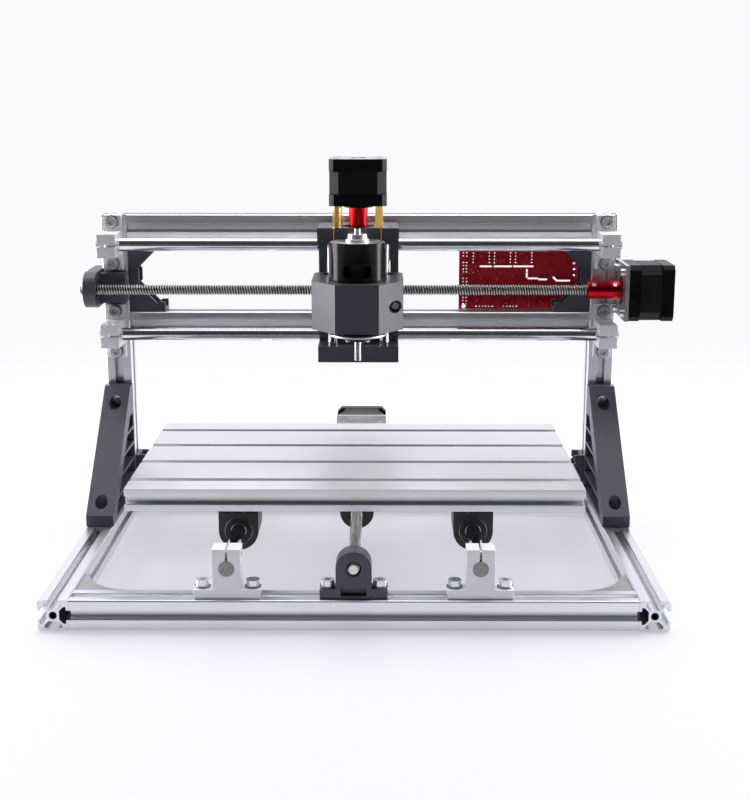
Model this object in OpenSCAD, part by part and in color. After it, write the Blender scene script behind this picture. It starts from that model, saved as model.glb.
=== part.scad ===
// Desktop three-axis CNC router: a bolted profile frame, a sliding bed, and a
// gantry that carries the spindle on a cross carriage.
// Units are millimetres. +X is right, +Y is back, +Z is up.
// The origin is under the middle of the machine's overall box, on the floor.

/* [Frame] */
// Side of the square slotted profile
profile_w = 20; // [20:1:30]
// Length of the two side profiles, front to back
base_depth = 330; // [300:1:400]
// Length of the cross profiles and of the two gantry beams
span = 360; // [320:1:440]
// Height of the uprights above the side profiles
upright_h = 220; // [200:1:260]
// Front face of the uprights, measured back from the front of the base
gantry_y = 248; // [230:1:260]
// Top of the lower gantry beam, measured up from the floor
lower_beam_top = 164; // [155:1:172]
// Distance from the floor to the top of the side gussets
gusset_top = 107; // [90:1:120]
// Length of the gusset foot along the side profile
gusset_len = 98; // [80:1:110]

/* [Guides and screws] */
// Diameter of the hard guide rods of the bed and the gantry
rod_d = 10; // [10:1:12]
// Height of a rod centre above the face its support stands on
rod_rise = 20; // [20:1:24]
// Distance of each bed rod from the middle plane
bed_rod_x = 80; // [60:1:110]
// Height of the upper gantry rod
upper_rod_z = 219; // [215:1:222]
// Height of the lower gantry rod
lower_rod_z = 150; // [145:1:155]
// Diameter of the three lead screws
screw_d = 8; // [6:0.5:8]
// Running clearance on the radius of guided and turning parts
run_gap = 0.05; // [0.02:0.01:0.1]
// Clearance on the radius of pressed, glued and bolted parts
seat_gap = 0.02; // [0.01:0.01:0.1]

/* [Bed] */
// Width of the slotted bed plate
bed_w = 300; // [240:1:320]
// Depth of the slotted bed plate
bed_depth = 180; // [160:1:200]
// Thickness of the bed plate
bed_t = 15; // [12:1:20]
// Height of the working face of the bed
bed_top = 81; // [80:1:90]
// Front edge of the bed plate, measured back from the front of the base
bed_y = 41; // [0:1:100]
// Pitch of the slots in the working face
slot_pitch = 45; // [30:1:60]

/* [Head] */
// Side of the square stepper motors
motor_w = 42.3; // [42:0.1:43]
// Length of the stepper motors
motor_len = 34; // [34:1:48]
// Spacing of the motor screws
motor_pitch = 31;
// Distance of the lift screw from the front of the base
lift_y = 211; // [208:1:212]
// Distance of the spindle axis from the front of the base
spindle_y = 170; // [165:1:172]
// Underside of the spindle holder at rest
holder_z = 165; // [150:1:185]
// Height of the spindle holder
holder_h = 35; // [30:1:36]
// Diameter of the spindle motor can
can_d = 42; // [40:0.5:44]
// Diameter of the spindle shaft
spindle_shaft_d = 5; // [5:0.5:8]

/* [Hidden] */
$fn = 64;
half_w = span / 2 + profile_w;
upright_top = profile_w + upright_h;
gantry_mid_y = gantry_y + profile_w / 2;
gantry_rod_y = gantry_y - rod_rise;
cross_screw_z = (upper_rod_z + lower_rod_z) / 2;
bed_rod_z = profile_w + rod_rise;
bed_mid_y = bed_y + bed_depth / 2;
bed_bottom = bed_top - bed_t;

// Slot of the profile: opening, lip and undercut.
slot_open = 6.2;
slot_lip = 1.8;
slot_under = 11;
slot_floor = 5.8;
slot_depth = 6;
profile_bore = 4.9;
post_x = half_w - profile_w / 2;

// Rod supports.
support_w = 42;
support_t = 14;
support_h = 32.8;
support_foot = 6;
support_block = 18;
support_holes = 32;

// Fasteners: shank, head diameter, head height, socket across corners.
m5 = [5, 8.5, 5, 4.6];
m4 = [4, 7, 4, 3.5];
m3 = [3, 5.5, 3, 2.9];

// Bearings and nuts.
lin_d = 19;
lin_len = 29;
lift_rod_d = 8;
lift_lin_d = 15;
lift_lin_len = 24;
ball_d = 16;
ball_t = 5;
nut_d = 10.2;
nut_flange_d = 22;
nut_flange_t = 3.5;

// Motor plates, couplings and motor shafts.
plate_t = 3;
plate_reach = 30;
coupling_d = 14;
coupling_len = 25;
motor_boss_d = 22;
motor_boss_t = 2;
motor_shaft_d = 5;
motor_shaft_len = 14.5;

// Cross carriage.
carriage_w = 60;
carriage_front = 192;
carriage_back = 241;
deck_t = 12;
top_deck_z = 223;
low_deck_z = 135;
cheek_t = 6;
cheek_front = 219;
housing_r = 12.3;
lift_rod_x = 19;
lift_rod_y = 204;
standoff_len = 16;
lift_motor_z = top_deck_z + deck_t + standoff_len;
lift_coupling_z = lift_motor_z - motor_boss_t - 0.5 - coupling_len;

// Spindle.
holder_half = 33;
holder_facet = 15.5;
holder_front = spindle_y - 28;
holder_back = 215;
can_bottom = 161.5;
can_len = 66.5;
nut_z = 181;
shaft_nose = 14.3;

// Corner brackets.
angle_leg = 28;

// Side slider blocks of the bed.
slider_len = 30;
slider_from_mid = 37;

cross_screw_left = -half_w - 13;
cross_plate_x = half_w;
bed_plate_y = base_depth;
origin_x = (cross_plate_x + plate_t + motor_len + cross_screw_left) / 2;
origin_y = (bed_plate_y + plate_t + motor_len) / 2;

// Moves a part from base coordinates to the machine's own origin.
module placed() { translate([-origin_x, -origin_y, 0]) children(); }

function turned(p, a) = [p.x * cos(a) - p.y * sin(a), p.x * sin(a) + p.y * cos(a)];

// Cross-section of the slotted profile: one side, then the same side turned.
function slot_side(h, c) = [
  [h - c, h], [slot_open / 2, h], [slot_open / 2, h - slot_lip],
  [slot_under / 2, h - slot_lip], [slot_under / 2, h - slot_lip - 1.6],
  [slot_floor / 2, h - slot_depth], [-slot_floor / 2, h - slot_depth],
  [-slot_under / 2, h - slot_lip - 1.6], [-slot_under / 2, h - slot_lip],
  [-slot_open / 2, h - slot_lip], [-slot_open / 2, h], [c - h, h]];

module profile(len) {
  side = slot_side(profile_w / 2, 0.8);
  difference() {
    linear_extrude(len) polygon([for (k = [0:3]) for (p = side) turned(p, 90 * k)]);
    translate([0, 0, -1]) cylinder(d = profile_bore, h = len + 2);
  }
}

// Profile along X, Y or Z, centred on its own axis.
module profile_x(len) { translate([-len / 2, 0, 0]) rotate([90, 0, 90]) profile(len); }
module profile_y(len) { rotate([-90, 0, 0]) profile(len); }

// Socket screw with its head on +Z and its shank going down from the origin.
module socket_screw(size, len) {
  difference() {
    union() {
      cylinder(d = size[1], h = size[2]);
      translate([0, 0, -len]) cylinder(d = size[0], h = len);
    }
    translate([0, 0, size[2] * 0.45]) cylinder(d = size[3], h = size[2], $fn = 6);
  }
}

// Slot nut, its top face at the underside of the slot lip, the slot along Y.
module slot_nut(size) {
  w = slot_under / 2 - 0.3;
  difference() {
    translate([0, 5, 0]) rotate([90, 0, 0]) linear_extrude(10)
      polygon([[-w, 0], [w, 0], [w, -1.4], [slot_floor / 2, -3.6],
        [-slot_floor / 2, -3.6], [-w, -1.4]]);
    translate([0, 0, -5]) cylinder(d = size[0] + 2 * seat_gap, h = 6);
  }
}

// Rod support: foot on Z = 0, rod along Y.
clamp_rise = 8;
clamp_seat = support_block / 2 - m4[2] - 0.2;
module rod_support() {
  difference() {
    union() {
      translate([-support_w / 2, -support_t / 2, 0])
        cube([support_w, support_t, support_foot]);
      translate([-support_block / 2, -support_t / 2, 0])
        cube([support_block, support_t, support_h]);
    }
    translate([0, support_t, rod_rise]) rotate([90, 0, 0])
      cylinder(d = rod_d + 2 * seat_gap, h = 2 * support_t);
    translate([-0.75, -support_t, rod_rise]) cube([1.5, 2 * support_t, support_h]);
    for (s = [-1, 1]) translate([s * support_holes / 2, 0, -1])
      cylinder(d = m5[0] + 0.5, h = support_foot + 2);
    translate([-support_w, 0, rod_rise + clamp_rise]) rotate([0, 90, 0])
      cylinder(d = m4[0] + 0.3, h = 2 * support_w);
    translate([clamp_seat, 0, rod_rise + clamp_rise]) rotate([0, 90, 0])
      cylinder(d = m4[1] + 0.4, h = support_block);
  }
}

// Puts a support, or anything that goes with one, at each of its four places.
module at_y_supports() {
  for (x = [-bed_rod_x, bed_rod_x], y = [profile_w / 2, base_depth - profile_w / 2])
    translate([x, y, profile_w]) children();
}
module at_x_supports() {
  for (x = [-post_x, post_x], z = [lower_rod_z, upper_rod_z])
    translate([x, gantry_y, z]) rotate([90, 90, 0]) children();
}

// Angle bracket: inner corner at the origin, legs along +X and +Z, width along Y.
module angle_bracket() {
  wall = 2.5;
  difference() {
    translate([0, profile_w / 2 - 0.5, 0]) rotate([90, 0, 0]) linear_extrude(profile_w - 1)
      polygon([[0, 0], [angle_leg, 0], [angle_leg, 8], [angle_leg - 5, 8], [angle_leg - 6, 6.5],
        [6.5, angle_leg - 6], [8, angle_leg - 5], [8, angle_leg], [0, angle_leg]]);
    translate([0, profile_w / 2 - 0.5 - wall, 0]) rotate([90, 0, 0])
      linear_extrude(profile_w - 1 - 2 * wall)
        polygon([[3, 3], [angle_leg + 1, 3], [angle_leg + 1, angle_leg + 1], [3, angle_leg + 1]]);
    translate([14, 0, -1]) cylinder(d = m5[0] + 0.5, h = 6);
    translate([-1, 0, 14]) rotate([0, 90, 0]) cylinder(d = m5[0] + 0.5, h = 6);
  }
}

// The angle bracket places: under and over the beams, and at the upright feet.
module at_angle_brackets() {
  for (s = [0, 1]) mirror([s, 0, 0]) {
    translate([-span / 2, gantry_mid_y, lower_beam_top]) children();
    translate([-span / 2, gantry_mid_y, profile_w]) children();
    translate([-span / 2, gantry_mid_y, upright_top - profile_w]) mirror([0, 0, 1]) children();
  }
}

// Corner casting with a hollow curve, corner at the origin, legs along +X and +Y.
curved_leg = 32;
module curved_bracket() {
  h = profile_w - 3;
  difference() {
    translate([0, 0, -h / 2]) linear_extrude(h)
      polygon([[0, 0], [curved_leg, 0], [curved_leg, 3.2], [3.2, curved_leg], [0, curved_leg]]);
    translate([curved_leg + 4, curved_leg + 4, -h]) cylinder(r = 33, h = 2 * h);
    translate([3, 3, -h / 2 + 2.2]) cube([curved_leg, curved_leg, h - 4.4]);
    translate([13, -1, 0]) rotate([-90, 0, 0]) cylinder(d = m5[0] + 0.5, h = 6);
    translate([-1, 13, 0]) rotate([0, 90, 0]) cylinder(d = m5[0] + 0.5, h = 6);
  }
}
module at_curved_brackets() {
  for (s = [0, 1]) mirror([s, 0, 0]) {
    translate([-span / 2, profile_w, profile_w / 2]) children();
    translate([-span / 2, base_depth - profile_w, profile_w / 2]) mirror([0, 1, 0]) children();
  }
}

// Linear ball bearing along Y, centred, with its two ring grooves.
module linear_bearing(d_out, d_in, len) {
  rotate([90, 0, 0]) difference() {
    translate([0, 0, -len / 2]) cylinder(d = d_out, h = len);
    translate([0, 0, -len]) cylinder(d = d_in + 2 * run_gap, h = 2 * len);
    for (s = [-1, 1]) translate([0, 0, s * len * 0.38 - 0.6]) difference() {
      cylinder(d = d_out + 2, h = 1.2);
      translate([0, 0, -1]) cylinder(d = d_out - 0.8, h = 4);
    }
  }
}

// Flanged lead nut along Z: flange from Z = 0 to its thickness, body on both sides.
module lead_nut(long_side, short_side) {
  difference() {
    union() {
      cylinder(d = nut_flange_d, h = nut_flange_t);
      translate([0, 0, -short_side]) cylinder(d = nut_d, h = short_side + nut_flange_t + long_side);
    }
    translate([0, 0, -20]) cylinder(d = screw_d + 2 * run_gap, h = 60);
    for (a = [45:90:315]) rotate([0, 0, a]) translate([8, 0, -1])
      cylinder(d = 3.4, h = nut_flange_t + 2);
  }
}

// Ball bearing ring along Z.
module ball_bearing() {
  difference() {
    cylinder(d = ball_d, h = ball_t);
    translate([0, 0, -1]) cylinder(d = screw_d + 2 * seat_gap, h = ball_t + 2);
    for (z = [-1, ball_t - 0.6]) translate([0, 0, z]) difference() {
      cylinder(d = ball_d - 3.2, h = 1.6);
      translate([0, 0, -1]) cylinder(d = ball_d - 5, h = 4);
    }
  }
}

// Rigid shaft coupling along Z, motor bore at the top.
module coupling() {
  difference() {
    cylinder(d = coupling_d, h = coupling_len);
    translate([0, 0, -1]) cylinder(d = screw_d + 2 * seat_gap, h = coupling_len / 2 + 1);
    translate([0, 0, 1]) cylinder(d = motor_shaft_d + 2 * seat_gap, h = coupling_len);
    for (z = [4.5, coupling_len - 4.5], a = [0, 90]) translate([0, 0, z]) rotate([0, 90, a])
      cylinder(d = 3.2, h = coupling_d);
  }
}

// Square with cut corners.
module cut_square(w, c, h) {
  s = w / 2;
  linear_extrude(h) polygon([[s, s - c], [s - c, s], [c - s, s], [-s, s - c],
    [-s, c - s], [c - s, -s], [s - c, -s], [s, c - s]]);
}

// Stepper motor body, front face at Z = 0, body going to -Z. Three separate solids.
module stepper() {
  front = 8.5;
  rear = 9;
  joint = 0.1;
  difference() {
    union() {
      translate([0, 0, -front]) cut_square(motor_w, 3.5, front);
      cylinder(d = motor_boss_d, h = motor_boss_t);
    }
    translate([0, 0, -front - 1]) cylinder(d = motor_shaft_d + 1, h = front + 4);
    for (a = [45:90:315]) rotate([0, 0, a]) translate([motor_pitch / sqrt(2), 0, -5])
      cylinder(d = m3[0] + 2 * seat_gap, h = 6);
  }
  translate([0, 0, rear + joint - motor_len])
    cut_square(motor_w - 0.4, 6.8, motor_len - front - rear - 2 * joint);
  translate([0, 0, -motor_len]) cut_square(motor_w, 3.5, rear);
}

// Motor plate: motor axis at the origin, plate from Z = 0 to its thickness, foot to -Y.
module motor_plate() {
  foot = plate_reach + profile_w / 2 - 0.5;
  difference() {
    translate([-motor_w / 2, -foot, 0]) cube([motor_w, foot + motor_w / 2, plate_t]);
    translate([0, 0, -1]) cylinder(d = motor_boss_d + 0.6, h = plate_t + 2);
    for (a = [45:90:315]) rotate([0, 0, a]) translate([motor_pitch / sqrt(2), 0, -1])
      cylinder(d = m3[0] + 0.4, h = plate_t + 2);
    for (s = [-1, 1]) translate([s * 12, -plate_reach, -1]) cylinder(d = m5[0] + 0.4, h = plate_t + 2);
  }
}

// Places of the two frame motors: plate face outward along local +Z.
module at_y_motor() { translate([0, bed_plate_y, bed_rod_z]) rotate([-90, 180, 0]) children(); }
module at_x_motor() { translate([cross_plate_x, gantry_rod_y, cross_screw_z]) rotate([0, 90, 0])
  rotate([0, 0, 180]) children(); }
module at_z_motor() { translate([0, lift_y, lift_motor_z]) rotate([180, 0, 0]) children(); }

module side_profiles() color("Silver") placed() {
  for (x = [-post_x, post_x]) translate([x, 0, profile_w / 2]) profile_y(base_depth);
}
module cross_profiles() color("Silver") placed() {
  for (y = [profile_w / 2, gantry_mid_y, base_depth - profile_w / 2])
    translate([0, y, profile_w / 2]) profile_x(span);
}
module uprights() color("Silver") placed() {
  for (x = [-post_x, post_x]) translate([x, gantry_mid_y, profile_w]) profile(upright_h);
}
module gantry_beams() color("Silver") placed() {
  for (z = [lower_beam_top, upright_top]) translate([0, gantry_mid_y, z - profile_w / 2])
    profile_x(span);
}

// Side gusset, drawn for the left side from its outer face at X = 0.
module gusset() {
  foot_h = 8;
  lip = 10;
  top = gusset_top - profile_w;
  front = gantry_y - gusset_len;
  wall = 3.5;
  slope = (top - foot_h) / (gusset_len - lip);
  ribs = 6;
  difference() {
    translate([0, gantry_y, profile_w]) rotate([90, 0, 90]) linear_extrude(profile_w)
      polygon([[-gusset_len, 0], [0, 0], [0, top], [-lip, top], [-gusset_len, foot_h]]);
    for (x = [-1, profile_w / 2 + 1.5], k = [0:ribs - 1]) {
      z0 = wall + k * (top - 12) / ribs;
      z1 = wall - 2 + (k + 1) * (top - 12) / ribs;
      y0 = -gusset_len + 12 + max(0, (z0 + 6 - foot_h) / slope);
      y1 = -gusset_len + 12 + max(0, (z1 + 6 - foot_h) / slope);
      if (y1 < -wall - 4) translate([x, gantry_y, profile_w]) rotate([90, 0, 90])
        linear_extrude(profile_w / 2 - 0.5)
          polygon([[y0, z0], [-wall, z0], [-wall, z1], [y1, z1]]);
    }
    translate([profile_w / 2, gantry_y - gusset_len + 9, profile_w - 1]) cylinder(d = 5.5, h = 40);
    translate([profile_w / 2, gantry_y - gusset_len + 9, profile_w + 5]) cylinder(d = 9.4, h = 40);
    translate([profile_w / 2, gantry_y + 1, gusset_top - 11]) rotate([90, 0, 0])
      cylinder(d = 5.5, h = 40);
    translate([profile_w / 2, gantry_y - 5, gusset_top - 11]) rotate([90, 0, 0])
      cylinder(d = 9.4, h = 40);
  }
}
module left_gusset() color("DimGray") placed() translate([-half_w, 0, 0]) gusset();
module right_gusset() color("DimGray") placed() mirror([1, 0, 0]) translate([-half_w, 0, 0]) gusset();

module base_corner_brackets() color("LightGray") placed() at_curved_brackets() curved_bracket();
module gantry_corner_brackets() color("DimGray") placed() at_angle_brackets() angle_bracket();
module y_rod_supports() color("Gainsboro") placed() at_y_supports() rod_support();
module x_rod_supports() color("Gainsboro") placed() at_x_supports() rod_support();

module y_rods() color("LightSteelBlue") placed() {
  for (x = [-bed_rod_x, bed_rod_x]) translate([x, 3, bed_rod_z]) rotate([-90, 0, 0])
    cylinder(d = rod_d, h = base_depth - 6);
}
module x_rods() color("LightSteelBlue") placed() {
  reach = post_x + support_t / 2 + 2;
  for (z = [lower_rod_z, upper_rod_z]) translate([-reach, gantry_rod_y, z]) rotate([0, 90, 0])
    cylinder(d = rod_d, h = 2 * reach);
}

// Plain end block of the bed screw, an arch on a foot.
block_w = 43;
block_t = 14;
arch_r = 11.4;
block_holes = 33;
module y_screw_block() color("DimGray") placed() translate([0, profile_w / 2, profile_w]) difference() {
  union() {
    translate([-block_w / 2, -block_t / 2, 0]) cube([block_w, block_t, 6]);
    translate([-arch_r, -block_t / 2, 0]) cube([2 * arch_r, block_t, rod_rise]);
    translate([0, block_t / 2, rod_rise]) rotate([90, 0, 0]) cylinder(r = arch_r, h = block_t);
  }
  translate([0, block_t, rod_rise]) rotate([90, 0, 0]) cylinder(d = 9.4, h = 2 * block_t);
  translate([0, block_t / 2 + 1, rod_rise]) rotate([90, 0, 0])
    cylinder(d = ball_d + 2 * seat_gap, h = ball_t + 1);
  translate([-8, -block_t / 2 - 1, 2]) cube([16, 5, 5.5]);
  for (s = [-1, 1]) translate([s * block_holes / 2, 0, -1]) cylinder(d = m5[0] + 0.5, h = 8);
}

// End block of the cross screw: a round plate on the outer face of the left upright,
// with a shoulder that lies against the upright's front face.
x_block_t = 9;
module x_screw_block() color("DimGray") placed() {
  translate([-half_w, gantry_rod_y, cross_screw_z]) rotate([0, -90, 0]) difference() {
    union() {
      cylinder(r = 13.7, h = x_block_t);
      translate([-13.7, 0, 0]) cube([27.4, rod_rise + profile_w, x_block_t]);
      translate([-11.5, rod_rise - 12, 0.5 - profile_w]) cube([23, 12, profile_w]);
    }
    translate([0, 0, -1]) cylinder(d = 9.4, h = x_block_t + 2);
    translate([0, 0, -1]) cylinder(d = ball_d + 2 * seat_gap, h = ball_t + 1);
    for (s = [-1, 1]) translate([s * 7.5, rod_rise + profile_w / 2, -1])
      cylinder(d = m5[0] + 0.5, h = x_block_t + 2);
  }
}

module screw_end_bearings() color("Silver") placed() {
  translate([0, (profile_w + block_t) / 2, bed_rod_z]) rotate([90, 0, 0]) ball_bearing();
  translate([-half_w, gantry_rod_y, cross_screw_z]) rotate([0, -90, 0]) ball_bearing();
}

module y_motor_plate() color("Silver") placed() at_y_motor() motor_plate();
module x_motor_plate() color("Silver") placed() at_x_motor() motor_plate();
module y_motor() color("DarkSlateGray") placed() at_y_motor() translate([0, 0, plate_t])
  rotate([180, 0, 0]) stepper();
module x_motor() color("DarkSlateGray") placed() at_x_motor() translate([0, 0, plate_t])
  rotate([180, 0, 0]) stepper();
module z_motor() color("DarkSlateGray") placed() at_z_motor() stepper();

// Controller board behind the right half of the gantry, hung on two standoffs
// from the upper beam. Slots cut through it part its supply side from its logic.
board_w = 100;
board_h = 73.3;
board_t = 1.6;
board_x = 79;
board_gap = 6;
board_y = gantry_y + profile_w + board_gap;
board_low = upright_top - profile_w / 2 + 4 - board_h;
board_back = board_y + board_t;
board_slot = 1.5;
board_slots = [[[17, 36], [25.5, 36]], [[28.3, 36], [41.5, 36]], [[43.7, 36], [58.6, 36]],
  [[54, 27.6], [54, 33.3]], [[55.3, 26.4], [62.4, 26.4]], [[63.8, 25.6], [69.7, 25.6]],
  [[75.3, 27.2], [78, 24.6]], [[78, 24.6], [88, 24.6]]];
module at_board_holes(rows) {
  for (x = [board_x + 4, board_x + board_w - 4], z = rows)
    translate([x, gantry_y + profile_w, board_low + z]) rotate([-90, 0, 0]) children();
}
module board_cut(a, b) {
  d = b - a;
  translate([a.x, a.y, 0]) rotate([0, 0, atan2(d.y, d.x)]) {
    translate([0, -board_slot / 2, -1]) cube([norm(d), board_slot, board_t + 2]);
    for (x = [0, norm(d)]) translate([x, 0, -1]) cylinder(d = board_slot, h = board_t + 2);
  }
}
module controller_board() color("FireBrick") placed() difference() {
  translate([board_x, board_y, board_low]) cube([board_w, board_t, board_h]);
  at_board_holes([4, board_h - 4]) cylinder(d = m3[0] + 0.4, h = board_gap + board_t + 1);
  translate([board_x, board_y + board_t, board_low]) rotate([90, 0, 0])
    for (s = board_slots) board_cut(s[0], s[1]);
}
module controller_standoffs() color("Gold") placed() at_board_holes([board_h - 4]) difference() {
  cylinder(d = 6, h = board_gap, $fn = 6);
  translate([0, 0, -1]) cylinder(d = m3[0] + 2 * seat_gap, h = board_gap + 2);
}
module controller_heat_sinks() color("Gray") placed() {
  at_drivers() translate([3.1, driver_rise + 1.6, 5.6]) difference() {
    cube([9, 5, 9]);
    for (j = [0:2]) translate([1.3 + 2.6 * j, 1.2, -1]) cube([1.2, 5, 11]);
  }
}

// Driver boards: each one plugs into two header strips on the controller board.
driver_rise = 9;
module at_drivers() {
  for (k = [0:2]) translate([board_x + 10 + 16.8 * k, board_back, board_low + 37.6]) children();
}
module driver_boards() color("Indigo") placed() at_drivers() {
  for (x = [0, 12.7]) translate([x, 0, 0]) cube([2.5, driver_rise - 0.1, 20.3]);
  translate([0, driver_rise, 0]) cube([15.2, 1.5, 20.3]);
}
module controller_connectors() color("Gainsboro") placed() {
  for (k = [0:2]) translate([board_x + 20 + 24 * k, board_back, board_low + 64]) difference() {
    cube([12, 7, 6]);
    translate([1, 1.5, 1]) cube([10, 8, 4]);
  }
  translate([board_x + 10, board_back, board_low + 4]) cube([13, 11, 16]);
  translate([board_x + 34, board_back, board_low + 3]) cube([14, 11, 14]);
  translate([board_x + 60, board_back, board_low + 14]) rotate([-90, 0, 0]) cylinder(d = 10, h = 13);
  translate([board_x + 74, board_back, board_low + 6]) cube([16, 10, 12]);
}

// One frame screw with its slot nut: head seat at the origin, going down.
module screw_or_nut(kind, size, grip, len) {
  if (kind == 0) socket_screw(size, len);
  else translate([0, 0, -grip - slot_lip]) slot_nut(size);
}
module frame_fixings(kind) {
  len = support_foot + slot_lip + 3;
  at_y_supports() for (s = [-1, 1]) translate([s * support_holes / 2, 0, support_foot])
    rotate([0, 0, 90]) screw_or_nut(kind, m5, support_foot, len);
  at_x_supports() for (s = [-1, 1]) translate([s * support_holes / 2, 0, support_foot])
    rotate([0, 0, 90]) screw_or_nut(kind, m5, support_foot, len);
  for (s = [-1, 1]) translate([s * block_holes / 2, profile_w / 2, profile_w + 6])
    rotate([0, 0, 90]) screw_or_nut(kind, m5, 6, len);
  for (s = [-1, 1]) translate([-half_w - x_block_t, gantry_mid_y, cross_screw_z + s * 7.5])
    rotate([0, -90, 0]) rotate([0, 0, 90]) screw_or_nut(kind, m5, x_block_t, x_block_t + 4.8);
  at_angle_brackets() {
    translate([14, 0, 3]) rotate([0, 0, 90]) screw_or_nut(kind, m5, 3, 7.8);
    translate([3, 0, 14]) rotate([0, 90, 0]) rotate([0, 0, 90]) screw_or_nut(kind, m5, 3, 7.8);
  }
  at_curved_brackets() {
    translate([13, 3, 0]) rotate([-90, 0, 0]) rotate([0, 0, 90]) screw_or_nut(kind, m5, 3, 7.8);
    translate([3, 13, 0]) rotate([0, 90, 0]) screw_or_nut(kind, m5, 3, 7.8);
  }
  for (s = [-1, 1]) {
    translate([s * post_x, gantry_y - gusset_len + 9, profile_w + 5]) screw_or_nut(kind, m5, 5, 9.8);
    translate([s * post_x, gantry_y - 5, gusset_top - 11]) rotate([90, 0, 0])
      screw_or_nut(kind, m5, 5, 9.8);
  }
  at_y_motor() for (s = [-1, 1]) translate([s * 12, -plate_reach, plate_t]) rotate([0, 0, 90])
    screw_or_nut(kind, m5, plate_t, 7.8);
  at_x_motor() for (s = [-1, 1]) translate([s * 12, -plate_reach, plate_t]) rotate([0, 0, 90])
    screw_or_nut(kind, m5, plate_t, 7.8);
}
module profile_screws() color("Silver") placed() frame_fixings(0);
module slot_nuts() color("Gray") placed() frame_fixings(1);

module support_clamp_screws() color("Silver") placed() {
  at_y_supports() translate([clamp_seat, 0, rod_rise + clamp_rise]) rotate([0, 90, 0])
    socket_screw(m4, clamp_seat + 7);
  at_x_supports() translate([clamp_seat, 0, rod_rise + clamp_rise]) rotate([0, 90, 0])
    socket_screw(m4, clamp_seat + 7);
}
module motor_screws() color("Silver") placed() {
  at_y_motor() for (a = [45:90:315]) rotate([0, 0, a]) translate([motor_pitch / sqrt(2), 0, 0])
    rotate([180, 0, 0]) socket_screw(m3, plate_t + 4);
  at_x_motor() for (a = [45:90:315]) rotate([0, 0, a]) translate([motor_pitch / sqrt(2), 0, 0])
    rotate([180, 0, 0]) socket_screw(m3, plate_t + 4);
}

// Bed plate with slots above, bolt slots below and one slot in each long edge.
module bed_plate() color("WhiteSmoke") placed() translate([-bed_w / 2, bed_y, bed_bottom]) difference() {
  cube([bed_w, bed_depth, bed_t]);
  for (k = [0:3]) translate([-1, slot_pitch * (k + 0.5), bed_t]) {
    translate([0, -3.1, -7.5]) cube([bed_w + 2, 6.2, 10]);
    translate([0, -5.5, -7.5]) cube([bed_w + 2, 11, 4.5]);
  }
  for (y = [bed_depth / 2 - slider_from_mid, bed_depth / 2, bed_depth / 2 + slider_from_mid])
    translate([-1, y, 0]) {
      translate([0, -2.3, -1]) cube([bed_w + 2, 4.6, 4]);
      translate([0, -4, 1.6]) cube([bed_w + 2, 8, 3.4]);
    }
  for (y = [-1, bed_depth - 1.8]) translate([-1, y, 4.4]) cube([bed_w + 2, 2.8, 5.6]);
  for (y = [1.8, bed_depth - 5]) translate([-1, y, 3.2]) cube([bed_w + 2, 3.2, 8]);
}

// Slider block of the bed, its bearing along Y at the origin.
module slider_block() {
  top = bed_bottom - bed_rod_z;
  half = 13.5;
  difference() {
    union() {
      rotate([90, 0, 0]) translate([0, 0, -slider_len / 2]) cylinder(r = half, h = slider_len);
      translate([-half, -slider_len / 2, 0]) cube([2 * half, slider_len, top]);
      translate([-half - 1.5, -slider_len / 2, top - 4]) cube([2 * half + 3, slider_len, 4]);
    }
    rotate([90, 0, 0]) translate([0, 0, -slider_len]) cylinder(d = lin_d + 2 * seat_gap, h = 2 * slider_len);
    for (s = [-1, 1], x = [-8.6, 0, 8.6])
      translate([x - 2.9, s * (slider_len / 2 - 4) - 5, 13]) cube([5.8, 10, top - 17]);
    for (s = [-1, 1]) translate([s * 4.3, 0, top - 12]) cylinder(d = m4[0] + 2 * seat_gap, h = 13);
  }
}
module at_sliders() {
  for (x = [-bed_rod_x, bed_rod_x], s = [-1, 1])
    translate([x, bed_mid_y + s * slider_from_mid, bed_rod_z]) children();
}
module y_slider_blocks() color("DimGray") placed() at_sliders() slider_block();
module y_linear_bearings() color("Silver") placed() at_sliders() linear_bearing(lin_d, rod_d, lin_len);

nut_block_len = 18;
module y_nut_block() color("DimGray") placed() translate([0, bed_mid_y, bed_rod_z]) difference() {
  union() {
    rotate([90, 0, 0]) translate([0, 0, -nut_block_len / 2]) cylinder(r = 12, h = nut_block_len);
    translate([-12, -nut_block_len / 2, 0]) cube([24, nut_block_len, bed_bottom - bed_rod_z]);
  }
  rotate([90, 0, 0]) translate([0, 0, -20]) cylinder(d = nut_d + 2 * seat_gap, h = 40);
  for (s = [-1, 1]) translate([s * 6, 0, bed_bottom - bed_rod_z - 12])
    cylinder(d = m4[0] + 2 * seat_gap, h = 13);
}
module y_lead_nut() color("Goldenrod") placed()
  translate([0, bed_mid_y + nut_block_len / 2, bed_rod_z]) rotate([-90, 0, 0]) lead_nut(1.5, 10);

// Bolts whose heads slide in the underside of the bed and thread into the blocks.
module bed_bolt() { translate([0, 0, 1.7]) cylinder(d = 7.4, h = 2.6); translate([0, 0, -10]) cylinder(d = m4[0], h = 12); }
module bed_bolts() color("Silver") placed() {
  at_sliders() for (s = [-1, 1]) translate([s * 4.3, 0, bed_bottom - bed_rod_z]) bed_bolt();
  for (s = [-1, 1]) translate([s * 6, bed_mid_y, bed_bottom]) bed_bolt();
}

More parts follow.
